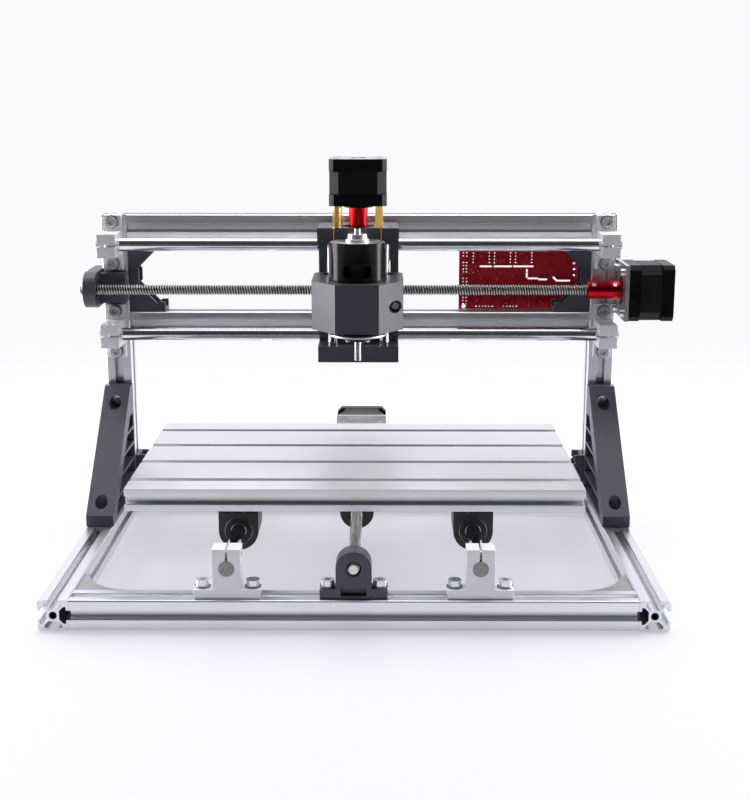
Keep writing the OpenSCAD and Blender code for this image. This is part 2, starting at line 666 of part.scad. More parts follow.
// Drive lines: screw, coupling and motor shaft of each axis.
module y_lead_screw() color("DarkGray") placed() translate([0, 2, bed_rod_z]) rotate([-90, 0, 0])
  cylinder(d = screw_d, h = bed_plate_y - motor_boss_t - coupling_len / 2 - 3);
module y_coupling() color("Crimson") placed()
  translate([0, bed_plate_y - coupling_len - 0.5, bed_rod_z]) rotate([-90, 0, 0]) coupling();
module y_motor_shaft() color("Silver") placed() translate([0, bed_plate_y - 11.5, bed_rod_z])
  rotate([-90, 0, 0]) cylinder(d = motor_shaft_d, h = 20);
module x_lead_screw() color("DarkGray") placed() translate([cross_screw_left, gantry_rod_y, cross_screw_z])
  rotate([0, 90, 0]) cylinder(d = screw_d, h = cross_plate_x - 13.5 - cross_screw_left);
module x_coupling() color("Crimson") placed()
  translate([cross_plate_x - coupling_len - 0.5, gantry_rod_y, cross_screw_z])
    rotate([0, 90, 0]) rotate([0, 0, 135]) coupling();
module x_motor_shaft() color("Silver") placed()
  translate([cross_plate_x - 11.5, gantry_rod_y, cross_screw_z]) rotate([0, 90, 0])
    cylinder(d = motor_shaft_d, h = 20);
module z_lead_screw() color("DarkGray") placed() translate([0, lift_y, low_deck_z + 1])
  cylinder(d = screw_d, h = lift_coupling_z + 12 - low_deck_z - 1);
module z_coupling() color("Crimson") placed() translate([0, lift_y, lift_coupling_z]) coupling();
module z_motor_shaft() color("Silver") placed() translate([0, lift_y, lift_coupling_z + 13])
  cylinder(d = motor_shaft_d, h = 20);

// Cross carriage: two decks joined by two cheeks, with the rod housings behind.
module x_carriage_body() color("DimGray") placed() {
  depth = carriage_back - carriage_front;
  difference() {
    union() {
      for (z = [low_deck_z, top_deck_z]) translate([-carriage_w / 2, carriage_front, z])
        cube([carriage_w, depth, deck_t]);
      for (x = [-carriage_w / 2, carriage_w / 2 - cheek_t]) translate([x, cheek_front, low_deck_z])
        cube([cheek_t, carriage_back - cheek_front, top_deck_z + deck_t - low_deck_z]);
      for (z = [lower_rod_z, upper_rod_z]) translate([-carriage_w / 2, gantry_rod_y, z])
        rotate([0, 90, 0]) cylinder(r = housing_r, h = carriage_w);
    }
    for (z = [lower_rod_z, upper_rod_z]) translate([-carriage_w, gantry_rod_y, z])
      rotate([0, 90, 0]) cylinder(d = lin_d + 2 * seat_gap, h = 2 * carriage_w);
    translate([-carriage_w, gantry_rod_y, cross_screw_z]) rotate([0, 90, 0])
      cylinder(d = nut_d + 2 * seat_gap, h = 2 * carriage_w);
    translate([0, lift_y, top_deck_z - 1]) cylinder(d = 24.5, h = deck_t + 2);
    translate([0, lift_y, low_deck_z + 6]) cylinder(r = 6.2, h = top_deck_z - low_deck_z);
    translate([0, lift_y, low_deck_z - 1]) cylinder(d = screw_d + 1, h = 20);
    translate([0, lift_y, low_deck_z + deck_t - ball_t]) cylinder(d = ball_d + 2 * seat_gap, h = ball_t + 1);
    for (s = [-1, 1]) translate([s * lift_rod_x, lift_rod_y, low_deck_z + 2])
      cylinder(d = lift_rod_d + 2 * seat_gap, h = top_deck_z + deck_t - low_deck_z);
    at_standoffs() translate([0, 0, -6]) cylinder(d = m3[0] + 2 * seat_gap, h = 7);
  }
}
module at_standoffs() {
  for (a = [45:90:315]) translate([0, lift_y, top_deck_z + deck_t]) rotate([0, 0, a])
    translate([motor_pitch / sqrt(2), 0, 0]) children();
}
module motor_standoffs() color("Goldenrod") placed() at_standoffs() {
  rotate([0, 0, 15]) cylinder(d = 6.2, h = standoff_len, $fn = 6);
  translate([0, 0, -5.5]) cylinder(d = m3[0], h = standoff_len + 9.5);
}
module x_linear_bearings() color("Silver") placed() {
  for (z = [lower_rod_z, upper_rod_z], s = [-1, 1])
    translate([s * (carriage_w - lin_len - 1) / 2, gantry_rod_y, z]) rotate([0, 0, 90])
      linear_bearing(lin_d, rod_d, lin_len);
}
module x_lead_nut() color("Goldenrod") placed()
  translate([-carriage_w / 2 + cheek_t, gantry_rod_y, cross_screw_z]) rotate([0, 90, 0]) lead_nut(1.5, 10);
module z_guide_rods() color("LightSteelBlue") placed() {
  for (s = [-1, 1]) translate([s * lift_rod_x, lift_rod_y, low_deck_z + 2])
    cylinder(d = lift_rod_d, h = top_deck_z + deck_t - low_deck_z - 2);
}
module z_end_bearing() color("Silver") placed()
  translate([0, lift_y, low_deck_z + deck_t - ball_t]) ball_bearing();

// Spindle holder: eight-sided front, three bores and a slot for the lead nut.
module spindle_holder() color("SlateGray") placed() difference() {
  translate([0, 0, holder_z]) linear_extrude(holder_h) polygon([
    [-holder_facet, holder_front], [holder_facet, holder_front],
    [holder_half, holder_front + 22], [holder_half, holder_back - 6],
    [holder_half - 4, holder_back], [4 - holder_half, holder_back],
    [-holder_half, holder_back - 6], [-holder_half, holder_front + 22]]);
  translate([0, spindle_y, holder_z - 1]) cylinder(d = can_d + 2 * seat_gap, h = holder_h + 2);
  for (s = [-1, 1]) translate([s * lift_rod_x, lift_rod_y, holder_z - 1])
    cylinder(d = lift_lin_d + 2 * seat_gap, h = holder_h + 2);
  translate([0, lift_y, holder_z - 1]) cylinder(d = nut_d + 2 * seat_gap, h = holder_h + 2);
  translate([-11.3, lift_y - 11.3, nut_z - 0.1]) cube([22.6, 30, nut_flange_t + 0.2]);
  at_clamp() translate([0, 0, -6]) cylinder(d = 9 + 2 * seat_gap, h = 40);
  at_clamp() translate([0, 0, -15]) cylinder(d = m5[0] + 2 * seat_gap, h = 20);
}
module at_clamp() {
  translate([27.3, holder_front + 19, holder_z + holder_h / 2]) rotate([90, 0, 0]) children();
}
module clamp_insert() color("Black") placed() at_clamp() difference() {
  translate([0, 0, -6]) cylinder(d = 9, h = 6);
  translate([0, 0, -7]) cylinder(d = m5[0] + 2 * seat_gap, h = 8);
}
module spindle_clamp_screw() color("Silver") placed() at_clamp() difference() {
  translate([0, 0, -14]) cylinder(d = m5[0], h = 13.5);
  translate([0, 0, -3]) cylinder(d = 2.9, h = 3, $fn = 6);
}
module z_linear_bearings() color("Silver") placed() {
  for (s = [-1, 1]) translate([s * lift_rod_x, lift_rod_y, holder_z + holder_h / 2])
    rotate([90, 0, 0]) linear_bearing(lift_lin_d, lift_rod_d, lift_lin_len);
}
module z_lead_nut() color("Goldenrod") placed() translate([0, lift_y, nut_z]) lead_nut(1.5, 10);

// Spindle motor: can with two vents, an end cap at each end, shaft and armature.
can_wall = 1.4;
can_top = can_bottom + can_len;
vent_mid = can_len - 19.7;
module spindle_can() color("Black") placed() translate([0, spindle_y, can_bottom]) difference() {
  cylinder(d = can_d, h = can_len);
  translate([0, 0, -1]) cylinder(d = can_d - 2 * can_wall, h = can_len + 2);
  translate([0, can_d, vent_mid]) rotate([90, 0, 0]) linear_extrude(2 * can_d) polygon([
    for (c = [[1, 1], [-1, 1], [-1, -1], [1, -1]], k = c.x * c.y > 0 ? [0, 1] : [1, 0])
      [c.x * (9.8 - 1.8 * k), c.y * (4.4 - 1.8 * (1 - k))]]);
}
module spindle_end_caps() color("Silver") placed() translate([0, spindle_y, 0]) {
  bore = spindle_shaft_d + 2 * run_gap;
  inner = can_d - 2 * can_wall - 2 * seat_gap;
  difference() {
    union() {
      translate([0, 0, can_bottom - 1.5]) cylinder(d = can_d, h = 1.5);
      translate([0, 0, can_bottom - 0.5]) cylinder(d = inner, h = 4);
      translate([0, 0, can_bottom - 5.5]) cylinder(d = 19, h = 5);
    }
    translate([0, 0, can_bottom - 10]) cylinder(d = bore, h = 20);
  }
  difference() {
    union() {
      translate([0, 0, can_top - 4]) cylinder(d = inner, h = 3.6);
      translate([0, 0, can_top - 1]) cylinder(d = 17.5, h = 2.6);
      translate([0, 0, can_top - 1]) cylinder(d1 = 16, d2 = 13.5, h = 6.2);
    }
    translate([0, 0, can_top - 10]) cylinder(d = bore, h = 20);
    at_terminals() translate([-0.6, -1.7, -5]) cube([1.2, 3.4, 6]);
  }
}
module at_terminals() { for (s = [-1, 1]) translate([s * 17, 0, can_top]) children(); }
module spindle_terminals() color("Goldenrod") placed() translate([0, spindle_y, 0])
  at_terminals() difference() {
    translate([-0.4, -1.5, -4.2]) cube([0.8, 3, 13.2]);
    translate([-1, 0, 6]) rotate([0, 90, 0]) cylinder(d = 1.4, h = 2);
  }
module spindle_shaft() color("Silver") placed() translate([0, spindle_y, can_bottom - 20.5])
  difference() {
    cylinder(d = spindle_shaft_d, h = can_len + 29.5);
    translate([0, 0, shaft_nose]) difference() {
      cylinder(d = spindle_shaft_d + 2, h = 0.6);
      translate([0, 0, -1]) cylinder(d = spindle_shaft_d - 0.5, h = 3);
    }
  }
module spindle_armature() color("SaddleBrown") placed() translate([0, spindle_y, can_bottom + 10])
  difference() {
    cylinder(d = 28, h = 40);
    translate([0, 0, -1]) cylinder(d = spindle_shaft_d + 2 * seat_gap, h = 42);
    for (a = [0:60:300]) rotate([0, 0, a]) translate([9, -1.5, -1]) cube([8, 3, 42]);
  }

side_profiles();
cross_profiles();
uprights();
gantry_beams();
left_gusset();
right_gusset();
base_corner_brackets();
gantry_corner_brackets();
y_rod_supports();
x_rod_supports();
y_rods();
x_rods();
y_screw_block();
x_screw_block();
screw_end_bearings();
y_motor_plate();
x_motor_plate();
y_motor();
x_motor();
controller_board();
controller_connectors();
controller_heat_sinks();
driver_boards();
controller_standoffs();
profile_screws();
slot_nuts();
support_clamp_screws();
motor_screws();
bed_plate();
y_slider_blocks();
y_linear_bearings();
y_nut_block();
y_lead_nut();
bed_bolts();
y_lead_screw();
y_coupling();
y_motor_shaft();
x_lead_screw();
x_coupling();
x_motor_shaft();
x_carriage_body();
x_linear_bearings();
x_lead_nut();
z_guide_rods();
motor_standoffs();
z_motor();
z_end_bearing();
z_lead_screw();
z_coupling();
z_motor_shaft();
spindle_holder();
z_linear_bearings();
z_lead_nut();
spindle_can();
spindle_end_caps();
spindle_terminals();
spindle_clamp_screw();
clamp_insert();
spindle_shaft();
spindle_armature();
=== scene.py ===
"""The desktop router's looks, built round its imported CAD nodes, in metres and in their frame."""
import math
import random

import bmesh
import bpy
from mathutils import Matrix, Vector


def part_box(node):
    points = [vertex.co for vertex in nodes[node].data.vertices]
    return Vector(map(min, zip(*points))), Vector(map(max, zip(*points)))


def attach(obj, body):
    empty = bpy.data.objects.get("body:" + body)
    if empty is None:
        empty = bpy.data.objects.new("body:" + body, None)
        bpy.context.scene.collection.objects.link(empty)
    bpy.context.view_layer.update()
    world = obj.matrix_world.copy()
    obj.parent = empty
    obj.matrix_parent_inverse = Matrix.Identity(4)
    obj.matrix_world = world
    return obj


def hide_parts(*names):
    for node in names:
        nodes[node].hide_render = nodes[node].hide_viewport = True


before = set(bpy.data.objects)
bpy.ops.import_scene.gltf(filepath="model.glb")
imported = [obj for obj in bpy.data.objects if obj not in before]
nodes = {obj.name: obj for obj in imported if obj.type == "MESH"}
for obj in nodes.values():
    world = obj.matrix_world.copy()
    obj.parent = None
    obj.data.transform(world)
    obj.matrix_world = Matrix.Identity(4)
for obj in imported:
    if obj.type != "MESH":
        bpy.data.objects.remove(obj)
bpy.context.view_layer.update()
rng = random.Random(7)
MM = 0.001

# The machine's middle and the front of its base, which at() measures from.
_lo, _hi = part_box("side_profiles")
BASE_X, BASE_Y = (_lo.x + _hi.x) / 2, _lo.y


def at(x, y, z):
    """A point given in millimetres from the middle of the base's front edge."""
    return Vector((BASE_X + x * MM, BASE_Y + y * MM, z * MM))


# ---------------------------------------------------------------- camera
# The viewpoint found from the photograph: place in millimetres, then degrees down and radians to the left.
VIEWPOINT = (17.9, -810.6, 333.8)
LOOK_DOWN, LOOK_LEFT = 12.79, 0.0054
FOCAL, SENSOR = 61.5, 36.0

camera_data = bpy.data.cameras.new("camera")
camera_data.lens, camera_data.sensor_width = FOCAL, SENSOR
camera = bpy.data.objects.new("camera", camera_data)
bpy.context.scene.collection.objects.link(camera)
camera.location = at(*VIEWPOINT)
camera.rotation_euler = (math.radians(90 - LOOK_DOWN), 0.0, LOOK_LEFT)
bpy.context.scene.camera = camera


# ---------------------------------------------------------------- materials
class Shader:
    """A node material with one Principled shader, and short names for what it needs."""

    def __init__(self, name, metallic=0.0, coat=0.0, coat_rough=0.1, specular=0.5):
        self.mat = bpy.data.materials.new(name)
        self.mat.use_nodes = True
        self.tree = self.mat.node_tree
        self.tree.nodes.clear()
        self.out = self.add("ShaderNodeOutputMaterial")
        self.bsdf = self.add("ShaderNodeBsdfPrincipled")
        self.join(self.bsdf.outputs["BSDF"], self.out.inputs["Surface"])
        self.bsdf.inputs["Metallic"].default_value = metallic
        self.bsdf.inputs["Coat Weight"].default_value = coat
        self.bsdf.inputs["Coat Roughness"].default_value = coat_rough
        self.bsdf.inputs["Specular IOR Level"].default_value = specular
        self.co = self.add("ShaderNodeTexCoord").outputs["Object"]

    def add(self, kind, **values):
        node = self.tree.nodes.new(kind)
        for key, value in values.items():
            setattr(node, key, value)
        return node

    def join(self, a, b):
        self.tree.links.new(a, b)

    def stretched(self, scale):
        node = self.add("ShaderNodeVectorMath", operation="MULTIPLY")
        self.join(self.co, node.inputs[0])
        node.inputs[1].default_value = scale
        return node.outputs[0]

    def noise(self, scale, detail=3.0):
        """Noise with that many features a metre along X, Y and Z."""
        if not isinstance(scale, tuple):
            scale = (scale, scale, scale)
        node = self.add("ShaderNodeTexNoise")
        node.inputs["Scale"].default_value = 1.0
        node.inputs["Detail"].default_value = detail
        node.inputs["Roughness"].default_value = 0.55
        self.join(self.stretched(scale), node.inputs["Vector"])
        return node.outputs["Fac"]

    def math(self, operation, a, b=0.0, c=0.0):
        node = self.add("ShaderNodeMath", operation=operation)
        for socket, value in zip(node.inputs, (a, b, c)):
            if isinstance(value, (int, float)):
                socket.default_value = value
            else:
                self.join(value, socket)
        return node.outputs[0]

    def spread(self, fac, low, high, from_low=0.3, from_high=0.7):
        """Noise stays near 0.5, so its middle part is spread over the whole range."""
        node = self.add("ShaderNodeMapRange")
        self.join(fac, node.inputs["Value"])
        for name, value in (("From Min", from_low), ("From Max", from_high),
                            ("To Min", low), ("To Max", high)):
            node.inputs[name].default_value = value
        return node.outputs["Result"]

    def mix(self, fac, a, b):
        """Colour a where fac is 0 and b where it is 1."""
        node = self.add("ShaderNodeMix", data_type="RGBA")
        self.join(fac, node.inputs["Factor"])
        sockets = [s for s in node.inputs if s.type == "RGBA"]
        for socket, value in zip(sockets, (a, b)):
            if isinstance(value, tuple):
                socket.default_value = (*value, 1.0)
            else:
                self.join(value, socket)
        return [s for s in node.outputs if s.type == "RGBA"][0]

    def axis(self, name):
        node = self.add("ShaderNodeSeparateXYZ")
        self.join(self.co, node.inputs[0])
        return node.outputs[name]

    def step(self, value, edge):
        """0 below the edge and 1 above it."""
        return self.math("GREATER_THAN", value, edge)

    def bump(self, height, distance, normal=None):
        """A height of that many metres, on top of another bump where one is given."""
        node = self.add("ShaderNodeBump")
        node.inputs["Distance"].default_value = distance
        node.inputs["Strength"].default_value = 1.0
        self.join(height, node.inputs["Height"])
        if normal is not None:
            self.join(normal, node.inputs["Normal"])
        return node.outputs["Normal"]

    def set(self, name, value):
        """Gives the shader a colour, a number or another node's output."""
        socket = self.bsdf.inputs[name]
        if isinstance(value, tuple):
            socket.default_value = (*value, 1.0)
        elif isinstance(value, (int, float)):
            socket.default_value = value
        else:
            self.join(value, socket)


LINE_DEPTH = 0.0012 * MM


def brushed(name, light, dark, rough, along, lines=1500.0):
    """Extruded or turned metal: fine lines along one axis, with soft die marks."""
    s = Shader(name, metallic=1.0)
    axis = "XYZ".index(along)
    fine = tuple(6.0 if i == axis else lines for i in range(3))
    broad = tuple(2.0 if i == axis else 170.0 for i in range(3))
    streaks, marks, clouds = s.noise(fine, 2.0), s.noise(broad, 2.0), s.noise(28.0, 4.0)
    tone = s.math("ADD", s.math("MULTIPLY", streaks, 0.4), s.math("MULTIPLY", marks, 0.6))
    s.set("Base Color", s.mix(s.spread(tone, 0.0, 1.0), dark, light))
    s.set("Roughness", s.spread(s.math("ADD", s.math("MULTIPLY", clouds, 0.6),
                                       s.math("MULTIPLY", streaks, 0.4)),
                                rough - 0.05, rough + 0.06))
    s.set("Normal", s.bump(streaks, LINE_DEPTH))
    return s.mat


def satin_metal(name, light, dark, rough, grain=2600.0, depth=0.02, metallic=1.0):
    """Blasted, cast or plated metal: fine grain, soft clouds in colour and gloss."""
    s = Shader(name, metallic=metallic)
    fine, clouds, spots = s.noise(grain, 3.0), s.noise(45.0, 5.0), s.noise(420.0, 3.0)
    tone = s.math("MULTIPLY_ADD", spots, 0.5, s.math("MULTIPLY", clouds, 0.5))
    s.set("Base Color", s.mix(s.spread(tone, 0.0, 1.0), dark, light))
    s.set("Roughness", s.spread(clouds, rough - 0.06, rough + 0.07))
    s.set("Normal", s.bump(fine, depth * MM))
    return s.mat


def plastic(name, light, dark, rough):
    """Moulded plastic: spark-eroded grain, faint flow clouds."""
    s = Shader(name)
    fine, clouds, flecks = s.noise(1900.0, 4.0), s.noise(30.0, 4.0), s.noise(700.0, 2.0)
    tone = s.math("MULTIPLY_ADD", flecks, 0.35, s.math("MULTIPLY", clouds, 0.65))
    s.set("Base Color", s.mix(s.spread(tone, 0.0, 1.0), dark, light))
    s.set("Roughness", s.spread(fine, rough - 0.05, rough + 0.06))
    s.set("Normal", s.bump(fine, 0.03 * MM))
    return s.mat


ALU_LIGHT, ALU_DARK = (0.825, 0.83, 0.865), (0.75, 0.755, 0.79)
profile_x = brushed("profile_aluminium_x", ALU_LIGHT, ALU_DARK, 0.31, "X")
profile_y = brushed("profile_aluminium_y", ALU_LIGHT, ALU_DARK, 0.31, "Y")
profile_z = brushed("profile_aluminium_z", ALU_LIGHT, ALU_DARK, 0.31, "Z")
bed_metal = brushed("bed_aluminium", (0.885, 0.89, 0.90), (0.825, 0.83, 0.845), 0.38, "X", lines=1100.0)
support_metal = satin_metal("support_aluminium", (0.94, 0.94, 0.96), (0.90, 0.90, 0.925), 0.46,
                            grain=3200.0, metallic=0.3)
casting = satin_metal("zinc_casting", (0.47, 0.465, 0.46), (0.36, 0.355, 0.35), 0.42,
                      grain=1500.0, depth=0.05)
slate = plastic("dark_plastic", (0.080, 0.082, 0.108), (0.062, 0.064, 0.086), 0.38)
black_plastic = plastic("black_plastic", (0.020, 0.020, 0.023), (0.011, 0.011, 0.013), 0.38)
screw_zinc = satin_metal("zinc_screw", (0.86, 0.87, 0.90), (0.68, 0.69, 0.74), 0.22,
                         grain=3800.0, depth=0.01, metallic=0.8)
# The washers are real parts; their dark tone is painted shade, standing for the shadow ring round each
# screw head.
washer_painted_shade = satin_metal("washer_painted_shade", (0.34, 0.34, 0.36), (0.22, 0.22, 0.24), 0.34, grain=3000.0)
bearing_metal = satin_metal("bearing_steel", (0.74, 0.74, 0.76), (0.60, 0.60, 0.63), 0.18,
                            grain=5000.0, depth=0.004)
plate_metal = brushed("plate_steel", (0.72, 0.72, 0.73), (0.58, 0.58, 0.60), 0.30, "Z", lines=1800.0)
brass = satin_metal("brass", (0.88, 0.58, 0.20), (0.74, 0.45, 0.13), 0.20, grain=3600.0, depth=0.008)
red_anodised = satin_metal("red_anodised", (0.60, 0.012, 0.020), (0.42, 0.006, 0.013), 0.24,
                           grain=4200.0, depth=0.006)
sink_metal = brushed("sink_aluminium", (0.60, 0.60, 0.62), (0.45, 0.45, 0.48), 0.33, "Z")
solder = satin_metal("solder", (0.86, 0.86, 0.87), (0.66, 0.66, 0.68), 0.22, grain=3000.0)
screw_steel = satin_metal("screw_steel", (0.74, 0.72, 0.68), (0.60, 0.58, 0.54), 0.30, depth=0.01)
# Thread roots: a darker steel that paints the shade in the grooves between the crests.
screw_root_painted_shade = satin_metal("screw_root_painted_shade", (0.19, 0.185, 0.175), (0.13, 0.127, 0.12), 0.42)
white_plastic = plastic("connector_white", (0.78, 0.78, 0.74), (0.68, 0.67, 0.62), 0.42)
rubber = plastic("seal_rubber", (0.012, 0.012, 0.013), (0.007, 0.007, 0.008), 0.5)


def rod_chrome(name, along):
    """Ground hard chrome: almost a mirror, with rings of grinding marks across it."""
    s = Shader(name, metallic=1.0)
    axis = "XYZ".index(along)
    rings = s.noise(tuple(5200.0 if i == axis else 30.0 for i in range(3)), 2.0)
    clouds = s.noise(35.0, 4.0)
    facing_out = s.add("ShaderNodeSeparateXYZ")
    s.join(s.add("ShaderNodeTexCoord").outputs["Normal"], facing_out.inputs[0])
    end = s.step(s.math("ABSOLUTE", facing_out.outputs[along]), 0.8)
    ground = s.mix(s.spread(clouds, 0.0, 1.0), (0.70, 0.71, 0.74), (0.80, 0.81, 0.83))
    sawn = s.mix(s.spread(s.noise(900.0, 4.0), 0.0, 1.0), (0.20, 0.19, 0.18), (0.34, 0.33, 0.31))
    s.set("Base Color", s.mix(end, ground, sawn))
    s.set("Roughness", s.math("MULTIPLY_ADD", end, 0.3, s.spread(
        s.math("MULTIPLY_ADD", rings, 0.5, s.math("MULTIPLY", clouds, 0.5)), 0.05, 0.13)))
    s.set("Normal", s.bump(rings, 0.0004 * MM))
    return s.mat


rods_x, rods_y, rods_z = (rod_chrome("chrome_rod_" + a.lower(), a) for a in "XYZ")


def can_paint():
    """Gloss black enamel over the spindle's steel can, with faint orange peel."""
    s = Shader("can_black", coat=0.06, coat_rough=0.10, specular=0.16)
    peel, clouds = s.noise(900.0, 2.0), s.noise(60.0, 4.0)
    s.set("Base Color", s.mix(s.spread(clouds, 0.0, 1.0), (0.006, 0.006, 0.007), (0.013, 0.013, 0.015)))
    s.set("Roughness", s.spread(clouds, 0.11, 0.18))
    s.set("Normal", s.bump(peel, 0.02 * MM))
    return s.mat


can_black = can_paint()


LAMINATION = 0.5 * MM


def motor_paint(name, light, dark, rough, along=None, painted_reflection_axis=None):
    """Satin black motor casing. Along an axis it shows the edges of stacked laminations;
    the face that looks along the other axis given is light grey metal, a painted reflection of the bright
    sheen on that face."""
    s = Shader(name, metallic=0.0, specular=0.1)
    fine, clouds = s.noise(1500.0, 3.0), s.noise(70.0, 4.0)
    paint = s.mix(s.spread(clouds, 0.0, 1.0), dark, light)
    if painted_reflection_axis:
        face = s.add("ShaderNodeSeparateXYZ")
        s.join(s.add("ShaderNodeTexCoord").outputs["Normal"], face.inputs[0])
        # Painted reflection: this face is light grey metal, standing for the bright sheen it catches.
        cut = s.step(face.outputs[painted_reflection_axis], 0.9)
        paint = s.mix(cut, paint, (0.55, 0.55, 0.57))
        s.set("Metallic", cut)
    s.set("Base Color", paint)
    s.set("Roughness", s.spread(clouds, rough - 0.05, rough + 0.06))
    normal = s.bump(fine, 0.03 * MM)
    if along:
        plies = s.math("SINE", s.math("MULTIPLY", s.axis(along), 2 * math.pi / LAMINATION))
        normal = s.bump(plies, 0.02 * MM, normal)
    s.set("Normal", normal)
    return s.mat


CAP_LIGHT, CAP_DARK = (0.007, 0.007, 0.008), (0.004, 0.004, 0.005)
STACK_LIGHT, STACK_DARK = (0.013, 0.014, 0.016), (0.008, 0.008, 0.010)
motor_cap = motor_paint("motor_black", CAP_LIGHT, CAP_DARK, 0.28)
laminations = {a: motor_paint("motor_laminations_" + a.lower(), STACK_LIGHT, STACK_DARK, 0.34, along=a)
               for a in "XYZ"}
# The rear covers' rear faces carry the painted reflection.
motor_rear = {a: motor_paint("motor_rear_" + a.lower(), CAP_LIGHT, CAP_DARK, 0.28, painted_reflection_axis=a)
              for a in "XYZ"}


def board_lacquer(name, light, dark, copper):
    """Solder mask over copper tracks: the tracks stand slightly proud and read lighter."""
    s = Shader(name, coat=0.1, coat_rough=0.2, specular=0.25)
    tracks = s.add("ShaderNodeTexBrick")
    tracks.offset_frequency, tracks.squash = 3, 1.4
    for key, value in (("Scale", 1.0), ("Mortar Size", 0.00035), ("Brick Width", 0.011),
                       ("Row Height", 0.0027), ("Mortar Smooth", 0.2)):
        tracks.inputs[key].default_value = value
    swap = s.add("ShaderNodeCombineXYZ")
    for here, there in (("X", "X"), ("Z", "Y")):
        s.join(s.axis(here), swap.inputs[there])
    s.join(swap.outputs[0], tracks.inputs["Vector"])
    pours = s.math("GREATER_THAN", s.noise(75.0, 1.0), 0.52)
    mask = s.math("MAXIMUM", tracks.outputs["Fac"], pours)
    clouds = s.noise(120.0, 4.0)
    base = s.mix(s.spread(clouds, 0.0, 1.0), dark, light)
    s.set("Base Color", s.mix(s.math("MULTIPLY", mask, 0.2), base, copper))
    s.set("Roughness", s.spread(clouds, 0.22, 0.34))
    s.set("Normal", s.bump(mask, 0.012 * MM))
    return s.mat


board_red = board_lacquer("board_red", (0.50, 0.006, 0.016), (0.34, 0.004, 0.010),
                          (0.60, 0.012, 0.022))
board_blue = board_lacquer("driver_board_blue", (0.03, 0.02, 0.12), (0.015, 0.010, 0.07),
                           (0.06, 0.05, 0.20))


FRONT_PLATE = 1.55  # how far the bright plate reaches below the can


def spindle_metal():
    """Bright plates; the nose under the front plate is black, told by its height."""
    s = Shader("cap_metal", metallic=1.0)
    fine, clouds = s.noise(4200.0, 3.0), s.noise(60.0, 4.0)
    nose = s.math("LESS_THAN", s.axis("Z"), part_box("spindle_can")[0].z - FRONT_PLATE * MM)
    bright = s.mix(s.spread(clouds, 0.0, 1.0), (0.74, 0.74, 0.77), (0.86, 0.86, 0.88))
    s.set("Base Color", s.mix(nose, bright, (0.012, 0.012, 0.014)))
    s.set("Metallic", s.math("SUBTRACT", 1.0, nose))
    s.set("Roughness", s.math("MULTIPLY_ADD", nose, 0.1, s.spread(clouds, 0.30, 0.42)))
    s.set("Normal", s.bump(fine, 0.006 * MM))
    return s.mat


WIRE = 0.45 * MM


def winding_copper():
    """Enamelled wire wound in layers round the armature."""
    s = Shader("copper_winding", metallic=1.0, coat=0.6)
    wires = s.math("SINE", s.math("MULTIPLY", s.axis("Z"), 2 * math.pi / WIRE))
    clouds = s.noise(240.0, 3.0)
    s.set("Base Color", s.mix(s.spread(clouds, 0.0, 1.0), (0.045, 0.032, 0.026),
                              (0.085, 0.058, 0.042)))
    s.set("Roughness", s.spread(clouds, 0.26, 0.40))
    s.set("Normal", s.bump(wires, 0.04 * MM))
    return s.mat


copper, cap_metal = winding_copper(), spindle_metal()
MATERIALS = {
    "side_profiles": profile_y, "cross_profiles": profile_x, "uprights": profile_z,
    "gantry_beams": profile_x, "left_gusset": slate, "right_gusset": slate,
    "base_corner_brackets": casting, "gantry_corner_brackets": slate,
    "y_rod_supports": support_metal, "x_rod_supports": support_metal, "y_rods": rods_y,
    "x_rods": rods_x, "y_screw_block": slate, "x_screw_block": slate,
    "screw_end_bearings": bearing_metal, "y_motor_plate": plate_metal, "x_motor_plate": plate_metal,
    "y_motor": motor_cap, "x_motor": motor_cap, "controller_board": board_red,
    "controller_connectors": white_plastic, "controller_heat_sinks": sink_metal,
    "driver_boards": board_blue, "controller_standoffs": brass, "profile_screws": screw_zinc,
    "slot_nuts": screw_zinc, "support_clamp_screws": screw_zinc, "motor_screws": screw_zinc,
    "bed_plate": bed_metal, "y_slider_blocks": black_plastic, "y_linear_bearings": bearing_metal,
    "y_nut_block": black_plastic, "y_lead_nut": brass, "bed_bolts": screw_zinc,
    "y_coupling": red_anodised, "y_motor_shaft": bearing_metal, "x_coupling": red_anodised,
    "x_motor_shaft": bearing_metal, "x_carriage_body": slate, "x_linear_bearings": bearing_metal,
    "x_lead_nut": brass, "z_guide_rods": rods_z, "motor_standoffs": brass, "z_motor": motor_cap,
    "z_end_bearing": bearing_metal, "z_coupling": red_anodised, "z_motor_shaft": bearing_metal,
    "spindle_holder": slate, "z_linear_bearings": bearing_metal, "z_lead_nut": brass,
    "spindle_can": can_black, "spindle_end_caps": cap_metal, "spindle_terminals": brass,
    "spindle_clamp_screw": screw_zinc, "clamp_insert": black_plastic, "spindle_shaft": bearing_metal,
    "spindle_armature": copper, "y_lead_screw": screw_steel, "x_lead_screw": screw_steel,
    "z_lead_screw": screw_steel,
}
